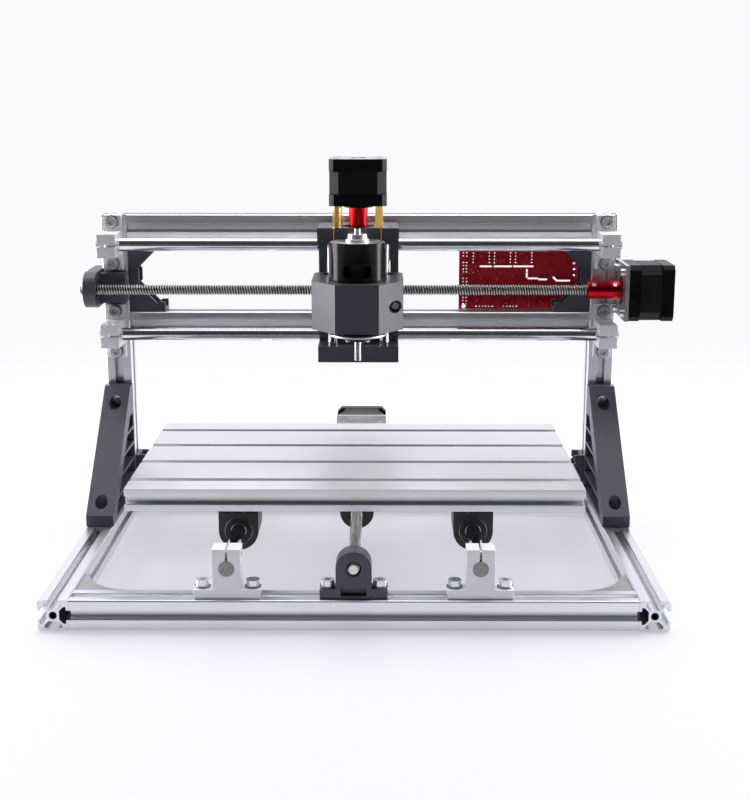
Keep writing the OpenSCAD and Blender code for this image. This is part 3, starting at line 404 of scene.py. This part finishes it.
# How much each node's hard edges are rounded, in millimetres.
BEVELS = {
    "side_profiles": 0.25, "cross_profiles": 0.25, "uprights": 0.25, "gantry_beams": 0.25,
    "left_gusset": 0.6, "right_gusset": 0.6, "base_corner_brackets": 0.5, "gantry_corner_brackets": 0.5,
    "y_rod_supports": 0.4, "x_rod_supports": 0.4, "y_rods": 0.6, "x_rods": 0.6, "y_screw_block": 0.6,
    "x_screw_block": 0.6, "y_motor_plate": 0.3, "x_motor_plate": 0.3, "bed_plate": 0.25,
    "y_slider_blocks": 0.4, "y_nut_block": 0.4, "x_carriage_body": 0.5, "spindle_holder": 0.5,
    "spindle_can": 0.4, "spindle_end_caps": 0.3, "y_coupling": 0.3, "x_coupling": 0.3,
    "z_coupling": 0.3, "profile_screws": 0.55, "support_clamp_screws": 0.3, "motor_screws": 0.2,
    "spindle_shaft": 0.25, "controller_connectors": 0.2, "y_motor_shaft": 0.2,
    "x_motor_shaft": 0.2, "z_motor_shaft": 0.2, "z_guide_rods": 0.3,
}


SHARP, BEVEL_FROM, FLAT = math.radians(32), math.radians(34), math.radians(0.4)
WELD = 0.002 * MM


def smooth_group():
    """Geometry nodes that shade smooth and keep edges over the sharp angle sharp."""
    group = bpy.data.node_groups.new("smooth_by_angle", "GeometryNodeTree")
    group.interface.new_socket("Geometry", in_out="INPUT", socket_type="NodeSocketGeometry")
    group.interface.new_socket("Geometry", in_out="OUTPUT", socket_type="NodeSocketGeometry")
    start, end = group.nodes.new("NodeGroupInput"), group.nodes.new("NodeGroupOutput")
    faces, edges = (group.nodes.new("GeometryNodeSetShadeSmooth") for _ in range(2))
    faces.domain, edges.domain = "FACE", "EDGE"
    angle = group.nodes.new("GeometryNodeInputMeshEdgeAngle")
    limit = group.nodes.new("FunctionNodeCompare")
    limit.data_type, limit.operation = "FLOAT", "LESS_EQUAL"
    limit.inputs[1].default_value = SHARP
    group.links.new(start.outputs[0], faces.inputs["Geometry"])
    group.links.new(faces.outputs[0], edges.inputs["Geometry"])
    group.links.new(angle.outputs[0], limit.inputs[0])
    group.links.new(limit.outputs[0], edges.inputs["Shade Smooth"])
    group.links.new(edges.outputs[0], end.inputs[0])
    return group


SMOOTH = smooth_group()


def finish_surface(obj, bevel, weld=True, merge_flats=False):
    """Rounds an object's hard edges a little and shades it smooth between them."""
    if weld:
        obj.modifiers.new("weld", "WELD").merge_threshold = WELD
    if merge_flats:
        flat = obj.modifiers.new("flat", "DECIMATE")
        flat.decimate_type, flat.angle_limit = "DISSOLVE", FLAT
    if bevel:
        m = obj.modifiers.new("bevel", "BEVEL")
        m.width, m.segments, m.limit_method = bevel * MM, 2, "ANGLE"
        m.angle_limit = BEVEL_FROM
        m.use_clamp_overlap = True
    obj.modifiers.new("smooth", "NODES").node_group = SMOOTH
    obj.modifiers.new("weighted", "WEIGHTED_NORMAL").keep_sharp = True


for name, obj in nodes.items():
    if "custom_normal" in obj.data.attributes:
        obj.data.attributes.remove(obj.data.attributes["custom_normal"])
    obj.data.materials.clear()
    obj.data.materials.append(MATERIALS[name])
    finish_surface(obj, BEVELS.get(name, 0), merge_flats=name.endswith("_gusset"))


# ---------------------------------------------------------------- mesh helpers
def ring(bm, matrix, radius, z, segments):
    """Vertices round a circle, in metres, in the matrix's frame."""
    angles = [2 * math.pi * i / segments for i in range(segments)]
    return [bm.verts.new(matrix @ Vector((radius * math.cos(a), radius * math.sin(a), z))) for a in angles]


def bridge(bm, a, b):
    """A band of four-sided faces between two rings of vertices."""
    for i in range(len(a)):
        j = (i + 1) % len(a)
        bm.faces.new((a[i], a[j], b[j], b[i]))


def lathe(bm, matrix, outline, segments):
    """Turns (radius, z) points, millimetres, round the matrix's Z; closed at both ends."""
    rings = [ring(bm, matrix, r * MM, z * MM, segments) for r, z in outline]
    for a, b in zip(rings, rings[1:]):
        bridge(bm, a, b)
    bm.faces.new(list(reversed(rings[0])))
    bm.faces.new(rings[-1])


def turned_ring(bm, matrix, outline, segments):
    """Turns a closed (radius, z) outline, millimetres, round the matrix's Z, with a hole through it."""
    rings = [ring(bm, matrix, r * MM, z * MM, segments) for r, z in outline]
    for a, b in zip(rings, rings[1:] + rings[:1]):
        bridge(bm, a, b)


def block(bm, matrix, low, high):
    """A box between two corners given in millimetres in the matrix's frame."""
    v = [bm.verts.new(matrix @ (Vector((x, y, z)) * MM))
         for x in (low[0], high[0]) for y in (low[1], high[1]) for z in (low[2], high[2])]
    for f in ((0, 1, 3, 2), (4, 6, 7, 5), (0, 4, 5, 1), (2, 3, 7, 6), (0, 2, 6, 4), (1, 5, 7, 3)):
        bm.faces.new([v[i] for i in f])


def prism(bm, matrix, points, z0, z1):
    """A straight prism on an outline in millimetres."""
    a = [bm.verts.new(matrix @ (Vector((x, y, z0)) * MM)) for x, y in points]
    b = [bm.verts.new(matrix @ (Vector((x, y, z1)) * MM)) for x, y in points]
    bridge(bm, a, b)
    bm.faces.new(list(reversed(a)))
    bm.faces.new(b)


def make(name, bm, materials, bevel=0.0, weld=False, shade=True):
    """Turns a bmesh into a scene object with its materials and soft edges."""
    bmesh.ops.recalc_face_normals(bm, faces=bm.faces)
    mesh = bpy.data.meshes.new(name)
    bm.to_mesh(mesh)
    bm.free()
    obj = bpy.data.objects.new(name, mesh)
    bpy.context.scene.collection.objects.link(obj)
    for m in materials:
        mesh.materials.append(m)
    if shade:
        finish_surface(obj, bevel, weld)
    return obj


def carve(bm_body, bm_cutter):
    """The first closed mesh with the second cut out of it, as a new bmesh."""
    parts = []
    for bm in (bm_body, bm_cutter):
        bmesh.ops.recalc_face_normals(bm, faces=bm.faces)
        mesh = bpy.data.meshes.new("carve")
        bm.to_mesh(mesh)
        bm.free()
        obj = bpy.data.objects.new("carve", mesh)
        bpy.context.scene.collection.objects.link(obj)
        parts.append(obj)
    m = parts[0].modifiers.new("cut", "BOOLEAN")
    m.object, m.operation, m.solver = parts[1], "DIFFERENCE", "EXACT"
    result = bmesh.new()
    result.from_mesh(parts[0].evaluated_get(bpy.context.evaluated_depsgraph_get()).to_mesh())
    for obj in parts:
        bpy.data.objects.remove(obj)
    return result


def add_mesh(bm, other):
    """Adds one bmesh to another."""
    keep = bpy.data.meshes.new("keep")
    other.to_mesh(keep)
    other.free()
    bm.from_mesh(keep)
    bpy.data.meshes.remove(keep)


def along(k, size=1.0):
    """A vector of that size along axis 0, 1 or 2."""
    return Vector([size if i == k else 0.0 for i in range(3)])


def facing(origin, direction, up=(0, 0, 1)):
    """A frame at origin whose Z points along direction and whose Y is close to up.
    When up lies along direction, its X is the world's."""
    z = Vector(direction).normalized()
    x = Vector(up).cross(z).normalized()
    if x.length < 0.5:
        x = Vector((1, 0, 0))
    y = z.cross(x)
    m = Matrix((x, y, z)).transposed().to_4x4()
    m.translation = origin
    return m


# ---------------------------------------------------------------- lead screws
PITCH, STARTS = 2.0, 2
CREST, ROOT, CHAMFER = 3.98, 3.05, 3.0
ROOT_HALF, FLANK = 0.14, 0.22  # widths as shares of the pitch
AROUND, ROWS_PER_PITCH = 28, 10


def lead_screw(name, axis, body):
    """A two-start trapezoidal screw, as long as its CAD node and chamfered at both ends; its roots are
    darker as painted shade.
    """
    lo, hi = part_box(name)
    k = "XYZ".index(axis)
    length = (hi[k] - lo[k]) / MM
    start = (lo + hi) / 2
    start[k] = lo[k]
    matrix = facing(start, along(k), (0, 0, 1) if axis != "Z" else (0, 1, 0))
    rows = int(length / PITCH * ROWS_PER_PITCH)
    bm = bmesh.new()
    rings = []
    for row in range(rows + 1):
        z = length * row / rows
        from_end = min(z, length - z)
        verts = []
        for i in range(AROUND):
            phase = (z / PITCH - STARTS * i / AROUND) % 1.0
            height = min(1.0, max(0.0, (abs(phase - 0.5) - ROOT_HALF) / FLANK))
            radius = min(ROOT + (CREST - ROOT) * height, CHAMFER + from_end)
            a = 2 * math.pi * i / AROUND
            point = Vector((radius * math.cos(a), radius * math.sin(a), z))
            verts.append(bm.verts.new(matrix @ (point * MM)))
        rings.append(verts)
    for a, b in zip(rings, rings[1:]):
        bridge(bm, a, b)
    bm.faces.new(list(reversed(rings[0])))
    bm.faces.new(rings[-1])
    across = Vector((1.0, 1.0, 1.0)) - along(k)
    for face in bm.faces:
        face.smooth = len(face.verts) == 4
        away = (face.calc_center_median() - start) * across
        # Faces inside the mid radius, the roots, take the painted shade.
        face.material_index = int(face.smooth and away.length < (ROOT + CREST) / 2 * MM)
    obj = make(name + "_thread", bm, [screw_steel, screw_root_painted_shade], shade=False)
    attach(obj, body)
    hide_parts(name)


lead_screw("x_lead_screw", "X", "x_drive")
lead_screw("y_lead_screw", "Y", "y_drive")
lead_screw("z_lead_screw", "Z", "z_drive")

# ---------------------------------------------------------------- stepper motors
# In a motor's own frame, in millimetres: the mounting face is Z = 0, the rear cover ends at
# MOTOR_LONG, and the lead socket looks along +Y.
MOTOR_HALF, MOTOR_LONG = 21.15, 34.0
STACK_HALF = MOTOR_HALF - 0.2
COVER_CUT, STACK_CUT = 3.5, 6.8
FRONT_END, STACK_START, STACK_END, REAR_START = 8.4, 8.5, 24.9, 25.0
PILOT, FRONT_COLLAR = 11.0, 5.2
SCREW_OFFSET, SINK_R, SINK_FLOOR = 15.5, 3.1, 31.2
HEAD = ((2.75, 31.25), (2.75, 32.9), (2.3, 33.4), (1.2, 33.6))
RECESS_REACH, RECESS_HALF, RECESS_FLOOR = 1.7, 0.3, 32.7
WELL_R, WELL_FLOOR = 6.2, 33.2
PAST = 36.0  # beyond the rear face, where the cutters end
SOCKET_X, SOCKET_WALL = 8.0, 0.8
SOCKET_Y0, SOCKET_Y1, SOCKET_Z0, SOCKET_Z1 = 15.7, 21.0, 28.7, 33.6
PINS, PIN_STEP = 6, 2.2


def octagon(half, cut):
    """A square with cut corners."""
    return [(half, half - cut), (half - cut, half), (cut - half, half), (-half, half - cut),
            (-half, cut - half), (cut - half, -half), (half - cut, -half), (half, cut - half)]


def cross(reach, thin):
    """The outline of a screwdriver's cross recess: half its length and half an arm's width."""
    return [(reach, thin), (thin, thin), (thin, reach), (-thin, reach), (-thin, thin), (-reach, thin),
            (-reach, -thin), (-thin, -thin), (-thin, -reach), (thin, -reach), (thin, -thin),
            (reach, -thin)]


def shifted(m, x, y):
    """The frame moved sideways by millimetres."""
    return m @ Matrix.Translation(Vector((x, y, 0)) * MM)


def rear_cover(m, screw_frames):
    """The rear cover, with the screws' counterbores, the shaft's well and the socket's opening."""
    body, cutter = bmesh.new(), bmesh.new()
    prism(body, m, octagon(MOTOR_HALF, COVER_CUT), REAR_START, MOTOR_LONG)
    for place in screw_frames:
        lathe(cutter, place, [(SINK_R, SINK_FLOOR), (SINK_R, PAST)], 28)
    lathe(cutter, m, [(WELL_R, WELL_FLOOR), (WELL_R, PAST)], 40)
    block(cutter, m, (-SOCKET_X - 0.6, SOCKET_Y0 - 0.1, SOCKET_Z0 - 0.1), (SOCKET_X + 0.6, 24.0, PAST))
    return carve(body, cutter)


def front_cover(m):
    """The front cover with its round pilot, which centres the motor in its plate."""
    bm = bmesh.new()
    prism(bm, m, octagon(MOTOR_HALF, COVER_CUT), 0.0, FRONT_END)
    lathe(bm, m, [(PILOT, 0.05), (PILOT, -1.6), (PILOT - 0.4, -2.0)], 48)
    lathe(bm, m, [(FRONT_COLLAR, -1.9), (FRONT_COLLAR, -2.02)], 32)
    return bm


def cover_screws(screw_frames):
    """Four heads with a cross recess."""
    screws = bmesh.new()
    for place in screw_frames:
        head, recess = bmesh.new(), bmesh.new()
        lathe(head, place, HEAD, 28)
        prism(recess, place, cross(RECESS_REACH, RECESS_HALF), RECESS_FLOOR, PAST)
        add_mesh(screws, carve(head, recess))
    return screws


def lead_socket(m):
    """An open box: two side walls, two long walls and a back."""
    bm = bmesh.new()
    inner, z0, z1 = SOCKET_X - SOCKET_WALL, SOCKET_Z0 + 0.7, SOCKET_Z1 - 0.7
    block(bm, m, (-SOCKET_X, SOCKET_Y0, SOCKET_Z0), (-inner, SOCKET_Y1, SOCKET_Z1))
    block(bm, m, (inner, SOCKET_Y0, SOCKET_Z0), (SOCKET_X, SOCKET_Y1, SOCKET_Z1))
    block(bm, m, (-inner, SOCKET_Y0, SOCKET_Z0), (inner, SOCKET_Y1, z0))
    block(bm, m, (-inner, SOCKET_Y0, z1), (inner, SOCKET_Y1, SOCKET_Z1))
    block(bm, m, (-inner, SOCKET_Y0, z0), (inner, SOCKET_Y0 + SOCKET_WALL, z1))
    return bm


def socket_pins(m):
    """A row of contacts standing in the socket."""
    bm = bmesh.new()
    for i in range(PINS):
        x = (i - (PINS - 1) / 2) * PIN_STEP
        block(bm, m, (x - 0.25, SOCKET_Y0 + SOCKET_WALL, 30.9), (x + 0.25, 20.0, 31.4))
    return bm


def stepper(name, axis, body, socket_side):
    """Front and rear covers, laminated middle, four screws, a lead socket and the shaft's end."""
    lo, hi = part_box(name)
    k = "XYZ".index(axis)
    centre = (lo + hi) / 2
    centre[k] = hi[k] - MOTOR_LONG * MM
    m = facing(centre, along(k), socket_side)
    screw_frames = [shifted(m, sx * SCREW_OFFSET, sy * SCREW_OFFSET) for sx in (-1, 1) for sy in (-1, 1)]
    stack, shaft_end = bmesh.new(), bmesh.new()
    prism(stack, m, octagon(STACK_HALF, STACK_CUT), STACK_START, STACK_END)
    lathe(shaft_end, m, [(2.4, 33.0), (2.4, 33.75), (2.1, 33.9)], 28)
    casing = (make(name + "_rear_cover", rear_cover(m, screw_frames), [motor_rear[axis]], 0.5, True),
              make(name + "_front_cover", front_cover(m), [motor_cap], 0.5),
              make(name + "_laminations", stack, [laminations[axis]], 0.25))
    for piece in casing:
        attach(piece, body)
        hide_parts(name)
    details = ((make(name + "_cover_screws", cover_screws(screw_frames), [screw_zinc]), "zinc_screw"),
               (make(name + "_lead_socket", lead_socket(m), [white_plastic], 0.12), "connector_white"),
               (make(name + "_socket_pins", socket_pins(m), [brass]), "brass"),
               (make(name + "_rear_shaft_end", shaft_end, [bearing_metal]), "bearing_steel"))
    for piece, slot_name in details:
        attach(piece, body)


stepper("x_motor", "X", "frame", (0, 1, 0))
stepper("y_motor", "Y", "frame", (1, 0, 0))
stepper("z_motor", "Z", "carriage", (0, 1, 0))


# ---------------------------------------------------------------- couplings' grub screws
GRUB_PLACES = (4.5, 20.5)
GRUB = ((1.55, 4.2), (1.55, 6.4), (1.3, 6.65))
HEX_R, HEX_FLOOR = 0.85, 5.3


def grub_screws(name, axis, body, sides):
    """Two grub screws at each end of a coupling, sunk a little below its surface."""
    lo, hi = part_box(name)
    k = "XYZ".index(axis)
    screws = bmesh.new()
    for place in GRUB_PLACES:
        point = (lo + hi) / 2
        point[k] = lo[k] + place * MM
        for side in sides:
            m = facing(point, side, along(k))
            screw, recess = bmesh.new(), bmesh.new()
            lathe(screw, m, GRUB, 20)
            lathe(recess, m, [(HEX_R, HEX_FLOOR), (HEX_R, 7.0)], 6)
            add_mesh(screws, carve(screw, recess))
    obj = make(name + "_grub_screws", screws, [screw_zinc])
    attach(obj, body)


grub_screws("x_coupling", "X", "x_drive", ((0, -1, 1), (0, 1, 1)))
grub_screws("y_coupling", "Y", "y_drive", ((1, 0, 0), (0, 0, -1)))
grub_screws("z_coupling", "Z", "z_drive", ((1, 0, 0), (0, 1, 0)))

# ---------------------------------------------------------------- controller board
# Places on the board are millimetres from its lower left corner, seen from the front.
board_lo, board_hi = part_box("controller_board")
to_front = Matrix(((1, 0, 0, board_lo.x), (0, 0, -1, board_lo.y), (0, 1, 0, board_lo.z), (0, 0, 0, 1)))
to_back = Matrix(((1, 0, 0, board_lo.x), (0, 0, 1, board_hi.y), (0, 1, 0, board_lo.z), (0, 0, 0, 1)))
GRID = 2.54
DRIVERS, DRIVER_STEP, DRIVER_PINS = 3, 16.8, 8
DRIVER_X, DRIVER_Y, DRIVER_ROWS = 11.2, 39.0, (0.0, 12.7)


def pad_row(x, y, count):
    """A level row of joints on the grid."""
    return [(x + GRID * j, y) for j in range(count)]


def joint_dots(bm, matrix, spots, radius, height):
    """Small cones of solder, drawn up round the leads."""
    outline = ((radius, 0.0), (radius * 0.8, height * 0.5), (radius * 0.35, height),
               (radius * 0.2, height * 1.3))
    for x, y in spots:
        lathe(bm, shifted(matrix, x, y), outline, 10)


header_pads = [(DRIVER_X + DRIVER_STEP * k + dx, DRIVER_Y + GRID * j)
               for k in range(DRIVERS) for dx in DRIVER_ROWS for j in range(DRIVER_PINS)]
edge_pads = [(x, 6.0 + GRID * j) for x in (3.4, 6.0) for j in range(20) if j % 5 != 4]
low_pads = pad_row(14.0, 4.0, 6) + pad_row(36.0, 4.0, 5)
terminal_pads = [(91.3, y) for y in (28.9, 33.7, 38.4)] + [(x, 9.0) for x in (76.5, 81.5, 86.5)]
via_spots = [(rng.uniform(8, 96), rng.uniform(3, 68)) for _ in range(90)]
dots, vias, chips, legs, pins = (bmesh.new() for _ in range(5))
joint_dots(dots, to_front, header_pads + edge_pads + low_pads, 0.72, 0.45)
joint_dots(dots, to_front, terminal_pads, 1.15, 0.8)
joint_dots(vias, to_front, via_spots, 0.3, 0.06)

# Large chips as corner, width, height and thickness. The two square ones have legs all round.
SQUARE_CHIPS = ((26, 12, 10, 10, 1.2), (64, 46, 9, 9, 1.0))
SMALL_CHIPS = ((46, 22, 5, 6.5, 1.5), (63, 30, 6, 5, 1.4), (80, 46, 8, 6, 1.3), (70, 60, 5, 4, 1.2))
for x, y, w, h, t in SQUARE_CHIPS + SMALL_CHIPS:
    block(chips, to_back, (x, y, 0.05), (x + w, y + h, t))
RESISTORS, IN_A_ROW, RESISTOR_ROWS = 46, 12, (20.5, 31.0, 60.5, 3.0)
for i in range(RESISTORS):
    x = 12 + (i % IN_A_ROW) * 6.9 + rng.uniform(-1, 1)
    y = RESISTOR_ROWS[i // IN_A_ROW] + rng.uniform(-0.5, 0.5)
    block(chips, to_back, (x, y, 0.02), (x + 1.6, y + 0.9, 0.5))
LEGS, LEG_HALF, LEG_OUT, LEG_THICK = 10, 0.18, 0.9, 0.22
for x, y, w, h, _ in SQUARE_CHIPS:
    for i in range(LEGS):
        step = w * (i + 0.5) / LEGS
        block(legs, to_back, (x + step - LEG_HALF, y - LEG_OUT, 0.02),
              (x + step + LEG_HALF, y + h + LEG_OUT, LEG_THICK))
        block(legs, to_back, (x - LEG_OUT, y + step - LEG_HALF, 0.02),
              (x + w + LEG_OUT, y + step + LEG_HALF, LEG_THICK))
for x, y in header_pads:
    block(pins, to_back, (x - 0.3, y - 0.3, 10.5), (x + 0.3, y + 0.3, 11.3))
for name, bm, material, bevel, slot_name in (
        ("board_solder_joints", dots, solder, 0.0, "bearing_steel"),
        ("board_vias", vias, solder, 0.0, "bearing_steel"),
        ("board_chips", chips, black_plastic, 0.08, "black_plastic"),
        ("board_chip_legs", legs, solder, 0.0, "bearing_steel"),
        ("driver_board_pins", pins, brass, 0.0, "brass")):
    piece = make(name, bm, [material], bevel)
    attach(piece, "frame")

# ---------------------------------------------------------------- washers
def islands(obj):
    """The lowest and highest corners of each separate solid in a CAD node."""
    bm = bmesh.new()
    bm.from_mesh(obj.data)
    bmesh.ops.remove_doubles(bm, verts=bm.verts, dist=0.001 * MM)
    left, found = set(bm.verts), []
    while left:
        stack, seen = [next(iter(left))], set()
        while stack:
            v = stack.pop()
            if v in seen:
                continue
            seen.add(v)
            stack.extend(e.other_vert(v) for e in v.link_edges)
        left -= seen
        points = [obj.matrix_world @ v.co for v in seen]
        found.append((Vector([min(p[i] for p in points) for i in range(3)]),
                      Vector([max(p[i] for p in points) for i in range(3)])))
    bm.free()
    return sorted(found, key=lambda pair: tuple(round(c, 5) for c in pair[0]))


# Where the washers seat, as an axis and a height along it: the tops of the feet that stand on the
# base and the fronts of the feet that are screwed to the gantry.
FOOT_TOP, FOOT_FRONT, HEAD_HIGH = 26.0, BASE_Y / MM + 242.0, 5.0
WASHER_SEATS = ((2, FOOT_TOP), (1, FOOT_FRONT))
SEAT_NEAR, SIZE_NEAR = 0.3, 0.01
WASHER = ((4.35, 0.02), (5.1, 0.02), (5.2, 0.12), (5.2, 0.75), (5.05, 0.9), (4.35, 0.9))


def washers():
    """A thin washer under the head of each frame screw that seats on a foot; the washers are dark as
    painted shade round each head.
    """
    bm = bmesh.new()
    for lo, hi in islands(nodes["profile_screws"]):
        middle, size = (lo + hi) / 2, hi - lo
        for k, seat in WASHER_SEATS:
            sign = 1 if k == 2 else -1
            head = (hi if sign > 0 else lo)[k] - sign * HEAD_HIGH * MM
            if size[k] < max(size) - SIZE_NEAR * MM or abs(head / MM - seat) > SEAT_NEAR:
                continue
            middle[k] = seat * MM
            m = facing(middle, along(k, sign), (0, 0, 1) if k != 2 else (0, 1, 0))
            turned_ring(bm, m, WASHER, 36)
    obj = make("support_washers", bm, [washer_painted_shade])
    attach(obj, "frame")


washers()

# ---------------------------------------------------------------- bearing seals
def seals(name, axis, body, outer, bore):
    """Black rubber seals in both end faces of each linear bearing, dished towards the rod."""
    k = "XYZ".index(axis)
    outline = ((outer, -0.1), (outer, 0.35), (outer - 0.6, 0.45), (bore + 1.2, 0.05),
               (bore + 0.25, 0.05), (bore + 0.25, -0.1))
    bm = bmesh.new()
    for lo, hi in islands(nodes[name]):
        for end, sign in ((lo, -1), (hi, 1)):
            point = (lo + hi) / 2
            point[k] = end[k]
            m = facing(point, along(k, sign), (0, 0, 1) if axis != "Z" else (0, 1, 0))
            turned_ring(bm, m, outline, 40)
    obj = make(name + "_seals", bm, [rubber])
    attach(obj, body)


seals("y_linear_bearings", "Y", "bed", 9.3, 5.0)
seals("x_linear_bearings", "X", "carriage", 9.3, 5.0)
seals("z_linear_bearings", "Z", "spindle_head", 7.3, 4.0)

# ---------------------------------------------------------------- spindle details
FACE_SCREW_X = 7.2
FACE_SCREW = ((1.75, 5.4), (1.75, 6.2), (1.3, 6.9), (0.5, 7.1))  # radii, and depths under the can
POLES, COIL_OUT, COIL_WIDE, COIL_LONG = 6, 8.0, 1.35, 5.5
can_lo, can_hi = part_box("spindle_can")
spindle_centre = Vector(((can_lo.x + can_hi.x) / 2, (can_lo.y + can_hi.y) / 2, 0))
face_screws = bmesh.new()
for side in (-1, 1):
    m = Matrix.Translation(spindle_centre + Vector((side * FACE_SCREW_X, 0, 0)) * MM)
    lathe(face_screws, m, [(r, can_lo.z / MM - depth) for r, depth in FACE_SCREW], 24)
screws_piece = make("spindle_face_screws", face_screws, [screw_zinc])
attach(screws_piece, "spindle_head")

arm_lo, arm_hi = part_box("spindle_armature")
bottom, top = arm_lo.z / MM, arm_hi.z / MM
coils = bmesh.new()
for k in range(POLES):
    turned = Matrix.Rotation(math.radians(60 * k + 30), 4, "Z")
    m = shifted(Matrix.Translation(spindle_centre) @ turned, COIL_OUT, 0)
    m = m @ Matrix.Scale(COIL_WIDE, 4, (0, 1, 0))
    for z0, z1 in ((bottom - COIL_LONG, bottom + 0.2), (top - 0.2, top + COIL_LONG)):
        outline = ((1.8, z0), (3.3, z0 + 1.2), (3.6, (z0 + z1) / 2), (3.3, z1 - 1.2), (1.8, z1))
        lathe(coils, m, outline, 18)
coil_piece = make("spindle_windings", coils, [copper])
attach(coil_piece, "spindle_rotor")

# ---------------------------------------------------------------- stage and light
PAPER = (0.955, 0.955, 0.975)
FLOOR_HALF, FLOOR_Z = 6, -0.0002
PAPER_DARK, PAPER_LIGHT, PAPER_GLOW = (0.375, 0.38, 0.405), (0.395, 0.40, 0.425), (0.42, 0.425, 0.455)
LIT_TO, PLAIN_FROM = 0.42, 0.95  # how far from the middle the floor takes light and shadow


def floor_paper():
    """Paper that takes light and shadow near the machine and fades to the background's tone."""
    s = Shader("floor_paper", specular=0.2)
    paper = s.noise(300.0, 3.0)
    s.set("Base Color", s.mix(s.spread(paper, 0.0, 1.0), PAPER_DARK, PAPER_LIGHT))
    s.set("Roughness", s.spread(paper, 0.42, 0.50))
    away = s.add("ShaderNodeVectorMath", operation="LENGTH")
    s.join(s.co, away.inputs[0])
    plain, faint = s.add("ShaderNodeEmission"), s.add("ShaderNodeEmission")
    plain.inputs["Color"].default_value = (*PAPER, 1.0)
    faint.inputs["Color"].default_value = (*PAPER_GLOW, 1.0)
    sheen, blend = s.add("ShaderNodeAddShader"), s.add("ShaderNodeMixShader")
    s.join(s.bsdf.outputs[0], sheen.inputs[0])
    s.join(faint.outputs[0], sheen.inputs[1])
    s.join(s.spread(away.outputs["Value"], 0.0, 1.0, LIT_TO, PLAIN_FROM), blend.inputs["Fac"])
    s.join(sheen.outputs[0], blend.inputs[1])
    s.join(plain.outputs[0], blend.inputs[2])
    s.join(blend.outputs[0], s.out.inputs["Surface"])
    return s.mat


def card(name, corners, material):
    """One flat face of the stage."""
    bm = bmesh.new()
    bm.faces.new([bm.verts.new(c) for c in corners])
    data = bpy.data.meshes.new(name)
    bm.to_mesh(data)
    bm.free()
    data.materials.append(material)
    obj = bpy.data.objects.new(name, data)
    bpy.context.scene.collection.objects.link(obj)
    return obj


def rectangle(x0, y0, x1, y1, z):
    """The corners of a level rectangle."""
    return (x0, y0, z), (x1, y0, z), (x1, y1, z), (x0, y1, z)


card("floor", rectangle(-FLOOR_HALF, -FLOOR_HALF, FLOOR_HALF, FLOOR_HALF, FLOOR_Z), floor_paper())


def flag(name, corners):
    """A black card that the camera doesn't see, which keeps reflections dark."""
    cloth = Shader(name + "_cloth", specular=0.0)
    cloth.set("Base Color", cloth.mix(cloth.noise(500.0), (0.012, 0.012, 0.013), (0.02, 0.02, 0.022)))
    cloth.set("Roughness", cloth.spread(cloth.noise(90.0), 0.8, 0.95))
    obj = card(name, corners, cloth.mat)
    obj.visible_camera = False
    obj.visible_shadow = False


flag("front_flag", rectangle(-1.6, -2.6, 1.6, -0.46, 0.004))

world = bpy.data.worlds.new("studio")
bpy.context.scene.world = world
world.use_nodes = True
tree = world.node_tree
tree.nodes.clear()


def sky(kind, **values):
    """A node of the world's shader."""
    node = tree.nodes.new(kind)
    for key, value in values.items():
        setattr(node, key, value)
    return node


def sky_ramp(value, stops):
    """A colour ramp over a direction's component, from -1 to 1."""
    scaled, ramp = sky("ShaderNodeMapRange"), sky("ShaderNodeValToRGB")
    scaled.inputs["From Min"].default_value = -1.0
    tree.links.new(value, scaled.inputs["Value"])
    tree.links.new(scaled.outputs["Result"], ramp.inputs["Fac"])
    while len(ramp.color_ramp.elements) < len(stops):
        ramp.color_ramp.elements.new(0.5)
    for element, (place, tone) in zip(ramp.color_ramp.elements, stops):
        element.position, element.color = (place + 1) / 2, (tone, tone, tone * 1.04, 1.0)
    return ramp.outputs["Color"]


where, split = sky("ShaderNodeTexCoord"), sky("ShaderNodeSeparateXYZ")
tree.links.new(where.outputs["Generated"], split.inputs[0])
front_to_back = sky_ramp(split.outputs["Y"], ((-1.0, 0.04), (-0.55, 0.08), (-0.1, 0.40), (0.35, 1.05)))
side_fill = sky_ramp(split.outputs["Z"], ((-1.0, 0.5), (0.0, 0.75), (0.35, 1.0), (0.9, 1.15)))
product = sky("ShaderNodeMix", data_type="RGBA", blend_type="MULTIPLY")
product.inputs["Factor"].default_value = 1.0
colours = [socket for socket in product.inputs if socket.type == "RGBA"]
tree.links.new(front_to_back, colours[0])
tree.links.new(side_fill, colours[1])
lit, shown = sky("ShaderNodeBackground"), sky("ShaderNodeBackground")
pick = sky("ShaderNodeMixShader")
lit_colour = [socket for socket in product.outputs if socket.type == "RGBA"][0]
tree.links.new(lit_colour, lit.inputs["Color"])
shown.inputs["Color"].default_value = (*PAPER, 1.0)
tree.links.new(sky("ShaderNodeLightPath").outputs["Is Camera Ray"], pick.inputs["Fac"])
tree.links.new(lit.outputs[0], pick.inputs[1])
tree.links.new(shown.outputs[0], pick.inputs[2])
tree.links.new(pick.outputs[0], sky("ShaderNodeOutputWorld").inputs["Surface"])


def softbox(name, place, target, width, height, power):
    """A rectangular soft light at one place, facing another."""
    light = bpy.data.lights.new(name, "AREA")
    light.shape, light.size, light.size_y, light.energy = "RECTANGLE", width, height, power
    obj = bpy.data.objects.new(name, light)
    bpy.context.scene.collection.objects.link(obj)
    obj.location = place
    obj.visible_camera = False
    obj.rotation_euler = (Vector(target) - Vector(place)).to_track_quat("-Z", "Y").to_euler()


for name, side in (("left_softbox", -1), ("right_softbox", 1)):
    softbox(name, (side * 0.9, 0.2, 0.31), (0, -0.02, 0.16), 0.62, 0.6, 10.0)
softbox("top_softbox", (0.0, 0.25, 1.4), (0, 0, 0.1), 1.3, 0.9, 11.0)

bpy.context.scene.view_settings.view_transform = "Standard"
bpy.context.scene.view_settings.look = "None"
